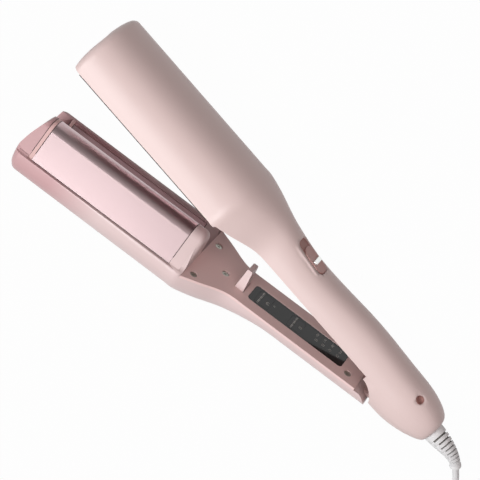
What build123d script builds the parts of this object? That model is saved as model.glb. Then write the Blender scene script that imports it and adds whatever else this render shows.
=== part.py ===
"""Deep-wave hair waver, lying open on its side, as an assembly of separate pieces.

Both arms are drawn closed, in the arm frame: X runs from the tip to the cord end, Y across
the width and Z across the gap, with the mid plane of the gap at z = 0. The upper jaw is the
lower one turned half a turn about X. The lower arm is then swung open about the hinge pin,
and the whole tool is laid on its side on the floor, with Z up.
"""
from build123d import *
from math import acos, asin, atan, atan2, cos, degrees, hypot, pi, radians, sin, sqrt, tan
import os

# ---------------------------------------------------------------- driving sizes (mm, degrees)
LENGTH = 302.0              # tip to the end of the rear housing
HEAD_WIDTH = 57.8           # across the jaws
HEAD_DEPTH = 26.4           # mid plane to the back of a jaw
HANDLE_WIDTH = 30.4
LOWER_HANDLE_DEPTH = 14.8   # mid plane to the back of the lower handle
UPPER_HANDLE_DEPTH = 17.4
UPPER_HANDLE_SWELL = 1.9    # how much the upper handle fills the palm
HOUSING_DEPTH = 17.3        # mid plane to the underside of the rear housing
OPEN_ANGLE = 13.8           # between the arms when the spring holds them open
HINGE_X, HINGE_Z = 280.0, 8.0

WALL = 1.8                  # moulded shells
COVER = 1.6                 # inner covers
BULKHEAD = 1.4              # wall behind the wave
TILT = 0.16                 # slope of the parting faces across the width
FACE_LOWER = 1.8            # parting face of the lower handle, off the mid plane
FACE_UPPER = 2.0            # parting face of the upper handle, off the mid plane
RIM = 0.88                  # head rims, off the mid plane
FULLNESS = 0.64             # of the rounded backs; 0.55 would be an ellipse
SPARE = 1.0                 # cut off again by the parting faces
PITCH = 8.0                 # between the sections of the lofts

SHOULDER_START, SHOULDER_END = 120.0, 158.0       # seen from above
BACK_START, BACK_END = 124.0, 188.0               # seen from the side
HOUSING_START = 250.0       # where the rear cover starts
UNDER_START = 268.0         # where its underside starts to rise
REAR_START = 273.0          # where the rear end starts to round off
END_HALF_WIDTH, END_TOP, END_BOTTOM = 7.7, 8.6, 6.9

RIDGE_Y = 10.7              # ridge crown, off the centre line
WAVE_HEIGHT = 18.5          # mid plane to the crown of the wave
WAVE_RADIUS = 8.7           # crown and valley, midway between the plates
FLANK = 65.5                # slope of the outer flanks
PLATE_GAP = 0.8             # between the plates when the arms are shut
PLATE = 1.2                 # thickness of the heating plates
PLATE_TOP = 1.2             # where the plate ends inside the far lip
PLATE_START, PLATE_END = 12.8, 115.5
BEZEL = 2.4                 # heat-proof strip in front of the plate
BLOCK_END = 125.5           # rear end of the wave, at the parting face
BLOCK_LEAN = 12.0           # of its rear end
TRAY = 1.2                  # heat-proof tray that carries the plate
HEATER_START, HEATER_END, HEATER_FLAT = 22.0, 106.0, 6.0
FIT = 0.15                  # between seated pieces
NOSE_RADIUS = 59.0          # bow of the tip
NOSE_DROP = 12.0            # where the bow starts, below the mid plane
EDGE = 2.0                  # rounding of the tip

PANEL_START, PANEL_END, PANEL_WIDTH, PANEL_CORNER = 164.0, 233.4, 15.2, 2.2
PANEL_SUNK = 0.4
LENS = 1.2
FRAME, FRAME_EDGE = 1.0, 1.6                      # carrier under the display window
KEYS = {"power_key": (173.0, 10.0), "temperature_key": (197.0, 10.0)}     # centre, length
KEY_WIDTH, KEY_FLANGE, KEY_CORNER = 11.0, 0.8, 1.2
KEY_TRAVEL = 0.6
LAMPS_X, LAMP_Y = (212.1, 217.3, 222.5, 227.7), -0.5
BOARD, BOARD_WIDTH = 1.2, 12.4
SWITCH = 1.1
RIB = 1.5
BOARD_RIBS = (184.0, 214.0)
POWER_BOARD_START, POWER_BOARD_END = 194.0, 234.0
POWER_BOARD_RIBS = (200.0, 227.0)

SCREWS = ((130.6, 15.1), (130.9, -20.2), (144.9, -1.8), (239.0, -8.0))
SCREW_HEAD, SCREW_HEAD_HEIGHT, SCREW_SUNK = 2.3, 1.2, 0.8
SCREW_SHANK, SCREW_LENGTH = 1.3, 6.4
POST, POST_DROP = 3.4, 3.4

SLIDER_START, SLIDER_END, SLIDER_WIDTH = 164.0, 188.4, 12.0
SLIDER_TRAVEL = 5.0
SLIDER_SUNK, SLIDER_FLOOR = 2.0, 1.6
LOOSE = 0.3                 # gap round the slider, the latch and the tie
SLIDER_PROUD = 0.5
STEM_LENGTH, STEM_WIDTH = 7.0, 4.0
BAR_X, BAR = 180.0, 2.4

HOOK_X, HOOK_LENGTH, HOOK_TIP, HOOK_HEIGHT = 153.9, 6.2, 3.4, 11.8
HOOK_Y, HOOK_WIDTH = -0.8, 10.6
LATCH_WIDTH, LATCH_LOW, LATCH_HIGH = 4.4, 5.8, 8.2
LATCH_START = 162.0

NOSE_X, NOSE_END = 247.5, 10.0                    # rounded end of the lower arm
MOUTH_X, MOUTH_Z, MOUTH_RADIUS = 249.0, -19.0, 15.7
REAR_HOLE, REAR_HOLE_FACES, REAR_HOLE_RADIUS = (281.0, -10.0, 14.1), (0.1, -0.62, 0.78), 2.5
PIN = 2.0
PIN_LENGTH = 25.0
RUNNING = 0.05              # radial, round the hinge pin
EAR, EAR_INNER, EAR_OUTER = 5.4, 4.8, 7.4
WASHER, WASHER_RADIUS = 0.7, 4.6
BOSS = 4.6
TONGUE, TONGUE_START, TONGUE_END, TONGUE_HALF = 2.0, 232.0, 262.0, 8.0
WEB_X, WEB_Z, WEB = 266.5, 0.5, 1.6
SPRING_WIRE, SPRING_RADIUS, SPRING_TURNS = 1.1, 3.4, 5

CORD = 4.2
RELIEF_BASE, RELIEF_TIP = 13.5, 6.6               # diameters
RELIEF_END = (328.4, 3.6, -5.3)
RELIEF_EXIT = (0.70, 0.30, -0.65)
RELIEF_AXIS_Z = 0.9
GLAND = 4.4
FIRST_RUN = 8.0
CORD_POINTS = ((10.7, -12.0, 2.9), (17.8, -22.9, 2.2), (24.3, -35.3, 2.15), (29.4, -47.3, 2.15))
COIL_RADIUS, COIL_WIDE, COIL_HIGH = 24.6, 3, 4    # middle of the turns; how many side by side and up
COIL_STUB = 19.0            # straight ends of the coil
COIL_LEAVES, TIE_AT = -65.0, 170.0                # where the cord goes on to the plug, and the tie
TIE, TIE_WIDTH = 0.6, 5.0
PLUG_THICK = 13.7
PLUG_SECTIONS = ((0, 6.4, 6.4), (18.0, 10.0, 9.0), (26.0, 20.0, 12.4), (36.0, 31.0, PLUG_THICK), (54.0, 35.0, PLUG_THICK))
PLUG_PITCH, PLUG_PIN, PLUG_PIN_LENGTH = 18.2, 2.0, 19.0

HEAD_HALF = HEAD_WIDTH / 2
HANDLE_HALF = HANDLE_WIDTH / 2
LOWER, UPPER = 1, -1
FACE = {LOWER: FACE_LOWER, UPPER: FACE_UPPER}
SURFACE = PLATE_GAP / 2     # plates, off the middle of the wave
BLOCK_FRONT = PLATE_START - BEZEL - 2 * FIT


# ---------------------------------------------------------------- outlines
def smooth(t):
    t = min(max(t, 0.0), 1.0)
    return t * t * (3 - 2 * t)


def rounding(x, start):
    """1 up to start, falling to 0 at the end of the rear housing."""
    t = min(max((x - start) / (LENGTH - start), 0.0), 1.0)
    return 1 - t * t


def half_width(x):
    shoulder = smooth((x - SHOULDER_START) / (SHOULDER_END - SHOULDER_START))
    handle = HEAD_HALF + (HANDLE_HALF - HEAD_HALF) * shoulder
    return END_HALF_WIDTH + (handle - END_HALF_WIDTH) * sqrt(rounding(x, REAR_START))


def lower_depth(x):
    blend = smooth((x - BACK_START) / (BACK_END - BACK_START))
    return HEAD_DEPTH + (LOWER_HANDLE_DEPTH - HEAD_DEPTH) * blend


def upper_depth(x):
    blend = smooth((x - BACK_START) / (BACK_END - BACK_START))
    swell = UPPER_HANDLE_SWELL * sin(pi * smooth((x - BACK_END) / (HINGE_X - BACK_END)))
    handle = HEAD_DEPTH + (UPPER_HANDLE_DEPTH - HEAD_DEPTH) * blend + swell
    return END_TOP + (handle - END_TOP) * sqrt(rounding(x, REAR_START))


def housing_depth(x):
    return END_BOTTOM + (HOUSING_DEPTH - END_BOTTOM) * rounding(x, UNDER_START)


def rim_height(x, face):
    """Parting face off the mid plane: the head's rims run smoothly into the handle's face."""
    return RIM + (face - RIM) * smooth((x - SHOULDER_START) / (SHOULDER_END - SHOULDER_START))


def spread(start, end):
    """Evenly spaced section places, without the last one."""
    count = round((end - start) / PITCH)
    return [start + (end - start) * i / count for i in range(count)]


def rear_stations(end):
    return [REAR_START + (end - REAR_START) * sin(pi / 2 * i / 6) for i in range(1, 7)]


def turned(side, y, z):
    """A point of the lower arm's section, or the upper arm's, half a turn about X away."""
    return (side * y, side * z)


def back_section(x, side, depth_at, rim, inset=0.0, raised=SPARE):
    """Section of an arm at x: a full rounded back with upright edges towards the gap."""
    half, depth = half_width(x) - inset, depth_at(x) - inset
    near, far = -rim - TILT * half, -rim + TILT * half
    edge = turned(side, -half, near), turned(side, half, far)
    low = turned(side, 0, -depth)
    near_pull = turned(side, -half, near - (depth + near) * FULLNESS)
    far_pull = turned(side, half, far - (depth + far) * FULLNESS)
    with BuildSketch(Plane.YZ.offset(x)) as section:
        with BuildLine():
            Bezier(edge[0], near_pull, turned(side, -FULLNESS * half, -depth), low)
            Bezier(low, turned(side, FULLNESS * half, -depth), far_pull, edge[1])
            top = turned(side, half, far + raised), turned(side, -half, near + raised)
            Polyline(edge[1], *top, edge[0])
        make_face()
    return section.sketch


def arm_form(side, depth_at, stations, inset=0.0, raised=SPARE):
    """Solid arm lofted through its sections."""
    with BuildPart() as form:
        loft([back_section(x, side, depth_at, rim_height(x, FACE[side]), inset, raised) for x in stations])
    return form.part


def face_plane(side, offset, drop=0.0):
    """Parting face at offset from the mid plane, drop deep into the arm; X along the arm."""
    out = Vector(0, -sin(atan(TILT)), cos(atan(TILT))) * side
    return Plane(origin=Vector(0, 0, -side * offset) - out * drop, x_dir=(1, 0, 0), z_dir=out)


def strip(plane, start, end, width=4 * HEAD_HALF, y=0.0, corner=0.0):
    """Rectangle on a plane, from start to end along the arm."""
    with BuildSketch(plane) as area:
        with Locations(((start + end) / 2, y)):
            if corner:
                RectangleRounded(end - start, width, corner)
            else:
                Rectangle(end - start, width)
    return area.sketch


def discs(plane, spots, radius):
    with BuildSketch(plane) as area:
        with Locations(*spots):
            Circle(radius)
    return area.sketch


# ---------------------------------------------------------------- the wave
CROWN = (-RIDGE_Y, WAVE_HEIGHT - WAVE_RADIUS)     # centre of the crown; the valley's is opposite
LEAN = atan2(CROWN[1], CROWN[0]) - asin(WAVE_RADIUS / hypot(*CROWN)) - pi / 2
STEEP = LEAN + pi / 2       # direction of the wall between crown and valley
RISE = radians(FLANK)       # direction of the outer flanks
SIDE = RISE + pi / 2        # where the arcs meet the outer flanks


def crown_point(angle, gap):
    radius = WAVE_RADIUS - gap
    return (CROWN[0] + radius * cos(angle), CROWN[1] + radius * sin(angle))


def valley_point(angle, gap):
    radius = WAVE_RADIUS + gap
    return (-CROWN[0] - radius * cos(angle), -CROWN[1] - radius * sin(angle))


def on_rim(point, direction):
    """Where the line through a point of the section meets the plane of the rims."""
    reach = (TILT * point[0] - RIM - point[1]) / (sin(direction) - TILT * cos(direction))
    return (point[0] + reach * cos(direction), point[1] + reach * sin(direction))


def at_height(point, z):
    """Where the outer flank through a point reaches height z."""
    return (point[0] + (z - point[1]) / tan(RISE), z)


def ridge_section(x, side, gap):
    """The ridge above the plane of the rims, gap inside the middle of the wave."""
    arc = [crown_point(a, gap) for a in (SIDE, (SIDE + LEAN) / 2, LEAN)]
    foot, cross = on_rim(arc[0], RISE), on_rim(arc[2], STEEP)
    with BuildSketch(Plane.YZ.offset(x)) as section:
        with BuildLine():
            Line(turned(side, *foot), turned(side, *arc[0]))
            ThreePointArc(*[turned(side, *p) for p in arc])
            Polyline(*[turned(side, *p) for p in (arc[2], cross, foot)])
        make_face()
    return section.sketch


def valley_section(x, side, gap):
    """The valley below the plane of the rims."""
    arc = [valley_point(a, gap) for a in (LEAN, (SIDE + LEAN) / 2, SIDE)]
    cross, foot = on_rim(arc[0], STEEP), on_rim(arc[2], RISE)
    with BuildSketch(Plane.YZ.offset(x)) as section:
        with BuildLine():
            Line(turned(side, *cross), turned(side, *arc[0]))
            ThreePointArc(*[turned(side, *p) for p in arc])
            Polyline(*[turned(side, *p) for p in (arc[2], foot, cross)])
        make_face()
    return section.sketch


def wave_sheet(x, side, outer, inner, low, high):
    """Section of a sheet that follows the wave, from height low to height high."""
    with BuildSketch(Plane.YZ.offset(x)) as section:
        with BuildLine():
            ends = []
            for gap in (outer, inner):
                crown = [crown_point(a, gap) for a in (SIDE, (SIDE + LEAN) / 2, LEAN)]
                valley = [valley_point(a, gap) for a in (LEAN, (SIDE + LEAN) / 2, SIDE)]
                first, last = at_height(crown[0], low), at_height(valley[2], high)
                Line(turned(side, *first), turned(side, *crown[0]))
                ThreePointArc(*[turned(side, *p) for p in crown])
                Line(turned(side, *crown[2]), turned(side, *valley[0]))
                ThreePointArc(*[turned(side, *p) for p in valley])
                Line(turned(side, *valley[2]), turned(side, *last))
                ends.append((first, last))
            Line(turned(side, *ends[0][0]), turned(side, *ends[1][0]))
            Line(turned(side, *ends[0][1]), turned(side, *ends[1][1]))
        make_face()
    return section.sketch


# ---------------------------------------------------------------- jaws
def shape_jaw(side, depth_at, form):
    """Head of a shell: rims, hollow, the wave blocks at both ends of the plate and the bowed tip."""
    extrude(back_section(0, side, depth_at, RIM), amount=SHOULDER_START)
    add(form)
    extrude(strip(face_plane(side, RIM), -SPARE, BLOCK_END), amount=HEAD_DEPTH, mode=Mode.SUBTRACT)
    hollow = back_section(BLOCK_FRONT, side, depth_at, RIM, WALL, HEAD_DEPTH)
    extrude(hollow, amount=PLATE_END + FIT - BLOCK_FRONT, mode=Mode.SUBTRACT)
    extrude(ridge_section(0, side, SURFACE), amount=BLOCK_FRONT)
    extrude(ridge_section(PLATE_END + FIT, side, SURFACE), amount=BLOCK_END - PLATE_END)
    extrude(valley_section(0, side, SURFACE), amount=BLOCK_END, mode=Mode.SUBTRACT)
    with BuildSketch(Plane.XZ) as bow:
        with BuildLine():
            arc = CenterArc((NOSE_RADIUS, -side * NOSE_DROP), NOSE_RADIUS, 180, -side * 60)
            Polyline(arc @ 0, (-SPARE, -side * NOSE_DROP), (-SPARE, (arc @ 1).Y), arc @ 1)
        make_face()
    extrude(bow.sketch, amount=HEAD_WIDTH, both=True, mode=Mode.SUBTRACT)
    foot = BLOCK_END
    top = foot - (WAVE_HEIGHT + FACE[side]) * tan(radians(BLOCK_LEAN))
    with BuildSketch(Plane.XZ) as lean:
        with BuildLine():
            Polyline((foot, -side * FACE[side]), (top, side * WAVE_HEIGHT), (top, side * (WAVE_HEIGHT + SPARE)),
                     (foot + SPARE, side * (WAVE_HEIGHT + SPARE)), (foot + SPARE, -side * FACE[side]), close=True)
        make_face()
    extrude(lean.sketch, amount=HEAD_WIDTH, both=True, mode=Mode.SUBTRACT)


def posts(side, form, spots, drop, radius=POST):
    """Screw posts from drop under the face down to the shell, bored for the screws."""
    with BuildPart() as made:
        extrude(discs(face_plane(side, FACE[side], drop), spots, radius), amount=-2 * HEAD_DEPTH)
        add(form, mode=Mode.INTERSECT)
        pilot = SCREW_SUNK + SCREW_HEAD_HEIGHT + SCREW_LENGTH + FIT - drop
        bore = discs(face_plane(side, FACE[side], drop), spots, SCREW_SHANK + RUNNING)
        extrude(bore, amount=-pilot, mode=Mode.SUBTRACT)
    return made.part


def ribs(side, form, places, drop):
    """Cross ribs of a shell, with their tops drop under the face."""
    with BuildPart() as made:
        for x in places:
            extrude(strip(face_plane(side, FACE[side], drop), x - RIB / 2, x + RIB / 2), amount=-2 * HEAD_DEPTH)
        add(form, mode=Mode.INTERSECT)
    return made.part


def inner_cover(side, form, end, spots):
    """Cover of a handle, trimmed to the shell's outline, with its screw bosses."""
    extrude(strip(face_plane(side, FACE[side]), BLOCK_END + RUNNING, end), amount=-COVER)
    add(form, mode=Mode.INTERSECT)
    extrude(discs(face_plane(side, FACE[side], COVER), spots, POST), amount=COVER - POST_DROP)
    for radius, depth in ((SCREW_HEAD + FIT, SCREW_SUNK + SCREW_HEAD_HEIGHT), (SCREW_SHANK + FIT, POST_DROP)):
        extrude(discs(face_plane(side, FACE[side]), spots, radius), amount=-depth, mode=Mode.SUBTRACT)


def screws(side, spots):
    plane = face_plane(side, FACE[side], SCREW_SUNK)
    extrude(discs(plane, spots, SCREW_HEAD), amount=-SCREW_HEAD_HEIGHT)
    extrude(discs(plane, spots, SCREW_SHANK), amount=-SCREW_HEAD_HEIGHT - SCREW_LENGTH)
    with BuildSketch(plane) as cross:
        with Locations(*spots):
            Rectangle(SCREW_HEAD, SCREW_HEAD / 4)
            Rectangle(SCREW_HEAD / 4, SCREW_HEAD)
    extrude(cross.sketch, amount=-SCREW_HEAD_HEIGHT / 2, mode=Mode.SUBTRACT)


HOLLOW_START = BLOCK_END + BULKHEAD
REAR_WALL = LENGTH - 3.0
LOWER_END = NOSE_X + 2 * NOSE_END
LOWER_STATIONS = spread(SHOULDER_START, LOWER_END) + [LOWER_END]
LOWER_HOLLOW = spread(HOLLOW_START, NOSE_X - WALL) + [NOSE_X - WALL]
UPPER_STATIONS = spread(SHOULDER_START, REAR_START) + [REAR_START] + rear_stations(LENGTH)
UPPER_HOLLOW = spread(HOLLOW_START, REAR_START) + [REAR_START] + rear_stations(REAR_WALL)
lower_form = arm_form(LOWER, lower_depth, LOWER_STATIONS)
upper_form = arm_form(UPPER, upper_depth, UPPER_STATIONS)
lower_hollow = arm_form(LOWER, lower_depth, LOWER_HOLLOW, WALL, HANDLE_HALF)
upper_hollow = arm_form(UPPER, upper_depth, UPPER_HOLLOW, WALL, HANDLE_HALF)


# ---------------------------------------------------------------- lower arm
def nose_cut():
    """Side view of what lies past the rounded end of the lower arm."""
    with BuildSketch(Plane.XZ) as area:
        with BuildLine():
            arc = CenterArc((NOSE_X, -LOWER_HANDLE_DEPTH), NOSE_END, 90, -90)
            Polyline(arc @ 1, (NOSE_X + NOSE_END, -HEAD_DEPTH), (LENGTH, -HEAD_DEPTH), (LENGTH, HEAD_DEPTH),
                     (NOSE_X, HEAD_DEPTH), arc @ 0)
        make_face()
    return area.sketch


TONGUE_DROP = POST_DROP + RUNNING
REST_DROP = COVER + LENS + FRAME
HOOK_BASE = 1.6
SWITCH_DROP = REST_DROP + KEY_TRAVEL + RUNNING
BOARD_DROP = SWITCH_DROP + SWITCH

with BuildPart() as lower_shell:
    shape_jaw(LOWER, lower_depth, lower_form)
    handle = strip(face_plane(LOWER, FACE_LOWER, COVER), BLOCK_END, LENGTH)
    extrude(handle, amount=HEAD_DEPTH, mode=Mode.SUBTRACT)
    add(lower_hollow, mode=Mode.SUBTRACT)
    extrude(nose_cut(), amount=HANDLE_WIDTH, both=True, mode=Mode.SUBTRACT)
    add(posts(LOWER, lower_form, SCREWS[:3], POST_DROP))
    add(posts(LOWER, lower_form, SCREWS[3:], TONGUE_DROP + TONGUE))
    add(ribs(LOWER, lower_form, BOARD_RIBS, BOARD_DROP + BOARD))
    add(ribs(LOWER, lower_form, [HOOK_X + HOOK_LENGTH / 2], COVER + HOOK_BASE))
    slot = strip(face_plane(LOWER, FACE_LOWER, TONGUE_DROP - FIT), NOSE_X - NOSE_END, TONGUE_END, 2 * (TONGUE_HALF + FIT))
    extrude(slot, amount=-TONGUE - 2 * FIT, mode=Mode.SUBTRACT)

with BuildPart() as lower_inner_cover:
    inner_cover(LOWER, lower_form, NOSE_X, SCREWS)
    window = strip(face_plane(LOWER, FACE_LOWER), PANEL_START - FIT, PANEL_END + FIT,
                   PANEL_WIDTH + 2 * FIT, corner=PANEL_CORNER + FIT)
    extrude(window, amount=-COVER, mode=Mode.SUBTRACT)
    slot = strip(face_plane(LOWER, FACE_LOWER), HOOK_X - 2 * FIT, HOOK_X + HOOK_LENGTH + 2 * FIT,
                 HOOK_WIDTH + 4 * FIT, HOOK_Y)
    extrude(slot, amount=-COVER, mode=Mode.SUBTRACT)

with BuildPart() as latch_hook:
    with BuildSketch(Plane.XZ.offset(-HOOK_Y)) as side_view:
        with BuildLine():
            foot = -FACE_LOWER - COVER - HOOK_BASE / 2
            lean = (HOOK_LENGTH - HOOK_TIP) / 3
            Polyline((HOOK_X, foot), (HOOK_X + HOOK_LENGTH, foot), (HOOK_X + HOOK_LENGTH - 2 * lean, HOOK_HEIGHT),
                     (HOOK_X + lean, HOOK_HEIGHT), close=True)
        make_face()
        fillet(side_view.vertices().group_by(Axis.Y)[-1], HOOK_TIP / 4)
    extrude(side_view.sketch, amount=HOOK_WIDTH / 2, both=True)
    base = strip(face_plane(LOWER, FACE_LOWER, COVER), HOOK_X - HOOK_BASE, HOOK_X + HOOK_LENGTH + HOOK_BASE - FIT,
                 HOOK_WIDTH + 2 * HOOK_BASE, HOOK_Y)
    extrude(base, amount=-HOOK_BASE)
    with BuildSketch(Plane.YZ.offset(HOOK_X)) as window:
        with Locations((HOOK_Y, (LATCH_LOW + LATCH_HIGH) / 2 + LOOSE)):
            Rectangle(LATCH_WIDTH + 4 * LOOSE, LATCH_HIGH - LATCH_LOW + 4 * LOOSE)
    extrude(window.sketch, amount=HOOK_LENGTH, mode=Mode.SUBTRACT)

with BuildPart() as lower_cover_screws:
    screws(LOWER, SCREWS)

with BuildPart() as display_window:
    lens = strip(face_plane(LOWER, FACE_LOWER, PANEL_SUNK), PANEL_START, PANEL_END, PANEL_WIDTH, corner=PANEL_CORNER)
    extrude(lens, amount=-LENS)
    for x, length in KEYS.values():
        hole = strip(face_plane(LOWER, FACE_LOWER, PANEL_SUNK), x - length / 2 - FIT, x + length / 2 + FIT,
                     KEY_WIDTH + 2 * FIT, corner=KEY_CORNER + FIT)
        extrude(hole, amount=-LENS, mode=Mode.SUBTRACT)

with BuildPart() as display_frame:
    frame = strip(face_plane(LOWER, FACE_LOWER, COVER), PANEL_START - FRAME_EDGE, PANEL_END + FRAME_EDGE,
                  PANEL_WIDTH + 2 * FRAME_EDGE, corner=PANEL_CORNER + FRAME_EDGE)
    extrude(frame, amount=-FRAME)
    for x, length in KEYS.values():
        reach = length / 2 + KEY_FLANGE + 2 * FIT
        hole = strip(face_plane(LOWER, FACE_LOWER, COVER), x - reach, x + reach,
                     KEY_WIDTH + 2 * KEY_FLANGE + 4 * FIT, corner=KEY_CORNER + KEY_FLANGE)
        extrude(hole, amount=-FRAME, mode=Mode.SUBTRACT)
    lights = [(x, LAMP_Y) for x in LAMPS_X]
    extrude(discs(face_plane(LOWER, FACE_LOWER, COVER), lights, FRAME), amount=-FRAME, mode=Mode.SUBTRACT)


def key(x, length):
    """A flush key with a flange that keeps it under the window, and a foot over its switch."""
    extrude(strip(face_plane(LOWER, FACE_LOWER, PANEL_SUNK), x - length / 2, x + length / 2, KEY_WIDTH,
                  corner=KEY_CORNER), amount=-LENS - RUNNING)
    extrude(strip(face_plane(LOWER, FACE_LOWER, PANEL_SUNK + LENS + RUNNING), x - length / 2 - KEY_FLANGE,
                  x + length / 2 + KEY_FLANGE, KEY_WIDTH + 2 * KEY_FLANGE, corner=KEY_CORNER), amount=-KEY_FLANGE)
    foot = discs(face_plane(LOWER, FACE_LOWER, PANEL_SUNK + LENS), [(x, 0)], PIN)
    extrude(foot, amount=PANEL_SUNK + LENS - REST_DROP)


with BuildPart() as power_key:
    key(*KEYS["power_key"])

with BuildPart() as temperature_key:
    key(*KEYS["temperature_key"])

with BuildPart() as control_board:
    board = strip(face_plane(LOWER, FACE_LOWER, BOARD_DROP), PANEL_START, PANEL_END, BOARD_WIDTH)
    extrude(board, amount=-BOARD)

with BuildPart() as tact_switches:
    spots = [(x, 0) for x, length in KEYS.values()]
    with BuildSketch(face_plane(LOWER, FACE_LOWER, SWITCH_DROP)) as bodies:
        with Locations(*spots):
            Rectangle(6, 6)
    extrude(bodies.sketch, amount=-SWITCH)

with BuildPart() as indicator_lamps:
    with BuildSketch(face_plane(LOWER, FACE_LOWER, BOARD_DROP)) as lamps:
        with Locations(*lights):
            Rectangle(1.0, 1.6)
    extrude(lamps.sketch, amount=BOARD_DROP - COVER - FRAME / 2)

with BuildPart() as hinge_fork:
    plane = face_plane(LOWER, FACE_LOWER, TONGUE_DROP)
    extrude(strip(plane, TONGUE_START, TONGUE_END, 2 * TONGUE_HALF), amount=-TONGUE)
    tab = SCREWS[3]
    extrude(discs(plane, [tab], POST), amount=-TONGUE)
    extrude(discs(plane, [tab], SCREW_SHANK + FIT), amount=-TONGUE, mode=Mode.SUBTRACT)
    with BuildSketch(Plane.XZ) as ear:
        with Locations((HINGE_X, HINGE_Z)):
            Circle(EAR)
        with Locations((TONGUE_END - 1.5 * TONGUE, -FACE_LOWER - TONGUE_DROP - TONGUE / 2)):
            Rectangle(3 * TONGUE, 1.5 * TONGUE)
        make_hull()
        with Locations((HINGE_X, HINGE_Z)):
            Circle(PIN + RUNNING, mode=Mode.SUBTRACT)
    extrude(ear.sketch, amount=EAR_OUTER, both=True)
    inside = TONGUE_END + TONGUE
    with BuildSketch(Plane.XZ) as slot:
        with Locations((inside + HINGE_X / 2, HINGE_Z)):
            Rectangle(HINGE_X, 4 * HEAD_DEPTH)
    extrude(slot.sketch, amount=EAR_INNER, both=True, mode=Mode.SUBTRACT)
    with BuildSketch(Plane.XZ) as web:
        with Locations((WEB_X, WEB_Z)):
            Circle(WEB)
    extrude(web.sketch, amount=EAR_INNER + RUNNING, both=True)


# ---------------------------------------------------------------- upper arm and rear housing
CREST_RISE = (upper_depth(SLIDER_END) - upper_depth(SLIDER_START)) / (SLIDER_END - SLIDER_START)
SLIDER_MID = (SLIDER_START + SLIDER_END) / 2
CREST_Z = (upper_depth(SLIDER_END) + upper_depth(SLIDER_START)) / 2


def crest_plane(drop=0.0):
    """Plane along the crest of the upper handle under the slider; X still counts from the tip."""
    out = Vector(-CREST_RISE, 0, 1).normalized()
    along = Vector(1, 0, CREST_RISE).normalized()
    foot = Vector(SLIDER_MID, 0, CREST_Z) - along * SLIDER_MID
    return Plane(origin=foot - out * drop, x_dir=along, z_dir=out)


def on_pin(start, end, radius):
    """Disc on the hinge axis, from y = start to y = end."""
    with BuildSketch(Plane.XZ.offset(-start)) as area:
        with Locations((HINGE_X, HINGE_Z)):
            Circle(radius)
    extrude(area.sketch, amount=start - end)


def gland_hole():
    with BuildSketch(Plane.YZ.offset(REAR_WALL - SPARE)) as area:
        with Locations((0, RELIEF_AXIS_Z)):
            Circle(GLAND)
    return area.sketch


def hinge_bosses():
    """Bosses inside the housing that carry the ends of the hinge pin."""
    with BuildPart() as made:
        on_pin(-HANDLE_HALF, HANDLE_HALF, BOSS)
        add(upper_form, mode=Mode.INTERSECT)
        with BuildSketch(Plane.XZ) as between:
            with Locations((HINGE_X, HINGE_Z)):
                Rectangle(4 * BOSS, 4 * BOSS)
        extrude(between.sketch, amount=EAR_OUTER + WASHER + 2 * RUNNING, both=True, mode=Mode.SUBTRACT)
    return made.part


def slider_seat():
    """Thickened floor under the slider's recess."""
    with BuildPart() as made:
        seat = strip(crest_plane(SLIDER_SUNK), SLIDER_START - WALL, SLIDER_END + WALL, SLIDER_WIDTH + 2 * WALL)
        extrude(seat, amount=-SLIDER_FLOOR)
    return made.part


STEM_X = SLIDER_MID + SLIDER_TRAVEL / 2

with BuildPart() as upper_shell:
    shape_jaw(UPPER, upper_depth, upper_form)
    handle = strip(face_plane(UPPER, FACE_UPPER, COVER), BLOCK_END, HOUSING_START)
    extrude(handle, amount=HEAD_DEPTH, mode=Mode.SUBTRACT)
    add(upper_hollow, mode=Mode.SUBTRACT)
    add(hinge_bosses())
    with BuildSketch(Plane.XZ) as bore:
        with Locations((HINGE_X, HINGE_Z)):
            Circle(PIN + RUNNING / 2)
    extrude(bore.sketch, amount=PIN_LENGTH / 2 + FIT, both=True, mode=Mode.SUBTRACT)
    housing = strip(face_plane(UPPER, FACE_UPPER), HOUSING_START, LENGTH + SPARE)
    extrude(housing, amount=HEAD_DEPTH, mode=Mode.SUBTRACT)
    add(slider_seat())
    pocket = strip(crest_plane(SLIDER_SUNK), SLIDER_START, SLIDER_END, SLIDER_WIDTH, corner=SLIDER_WIDTH / 4)
    extrude(pocket, amount=2 * SLIDER_SUNK, mode=Mode.SUBTRACT)
    slot = strip(crest_plane(SLIDER_SUNK), STEM_X - STEM_LENGTH / 2 - SLIDER_TRAVEL - LOOSE,
                 STEM_X + STEM_LENGTH / 2 + LOOSE, STEM_WIDTH + 2 * LOOSE)
    extrude(slot, amount=-2 * SLIDER_FLOOR, mode=Mode.SUBTRACT)
    add(posts(UPPER, upper_form, SCREWS, POST_DROP))
    add(ribs(UPPER, upper_form, POWER_BOARD_RIBS, BOARD_DROP + BOARD))
    extrude(gland_hole(), amount=3 * SPARE + LENGTH - REAR_WALL, mode=Mode.SUBTRACT)
    with Locations(Plane(origin=REAR_HOLE, z_dir=REAR_HOLE_FACES)):
        CounterSinkHole(radius=REAR_HOLE_RADIUS, counter_sink_radius=REAR_HOLE_RADIUS + SPARE, depth=2 * WALL)

with BuildPart() as upper_inner_cover:
    inner_cover(UPPER, upper_form, HOUSING_START, SCREWS)
    slot = strip(face_plane(UPPER, FACE_UPPER), HOOK_X - 1.5, HOOK_X + HOOK_LENGTH + 2.0, HOOK_WIDTH + 2.0, -HOOK_Y)
    extrude(slot, amount=-COVER, mode=Mode.SUBTRACT)

HOUSING_STATIONS = spread(HOUSING_START, REAR_START) + [REAR_START] + rear_stations(LENGTH)
HOUSING_HOLLOW = spread(HOUSING_START - SPARE, REAR_START) + [REAR_START] + rear_stations(REAR_WALL)


def housing_form(stations, inset=0.0, raised=SPARE):
    with BuildPart() as form:
        loft([back_section(x, LOWER, housing_depth, -FACE_UPPER, inset, raised) for x in stations])
    return form.part


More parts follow.
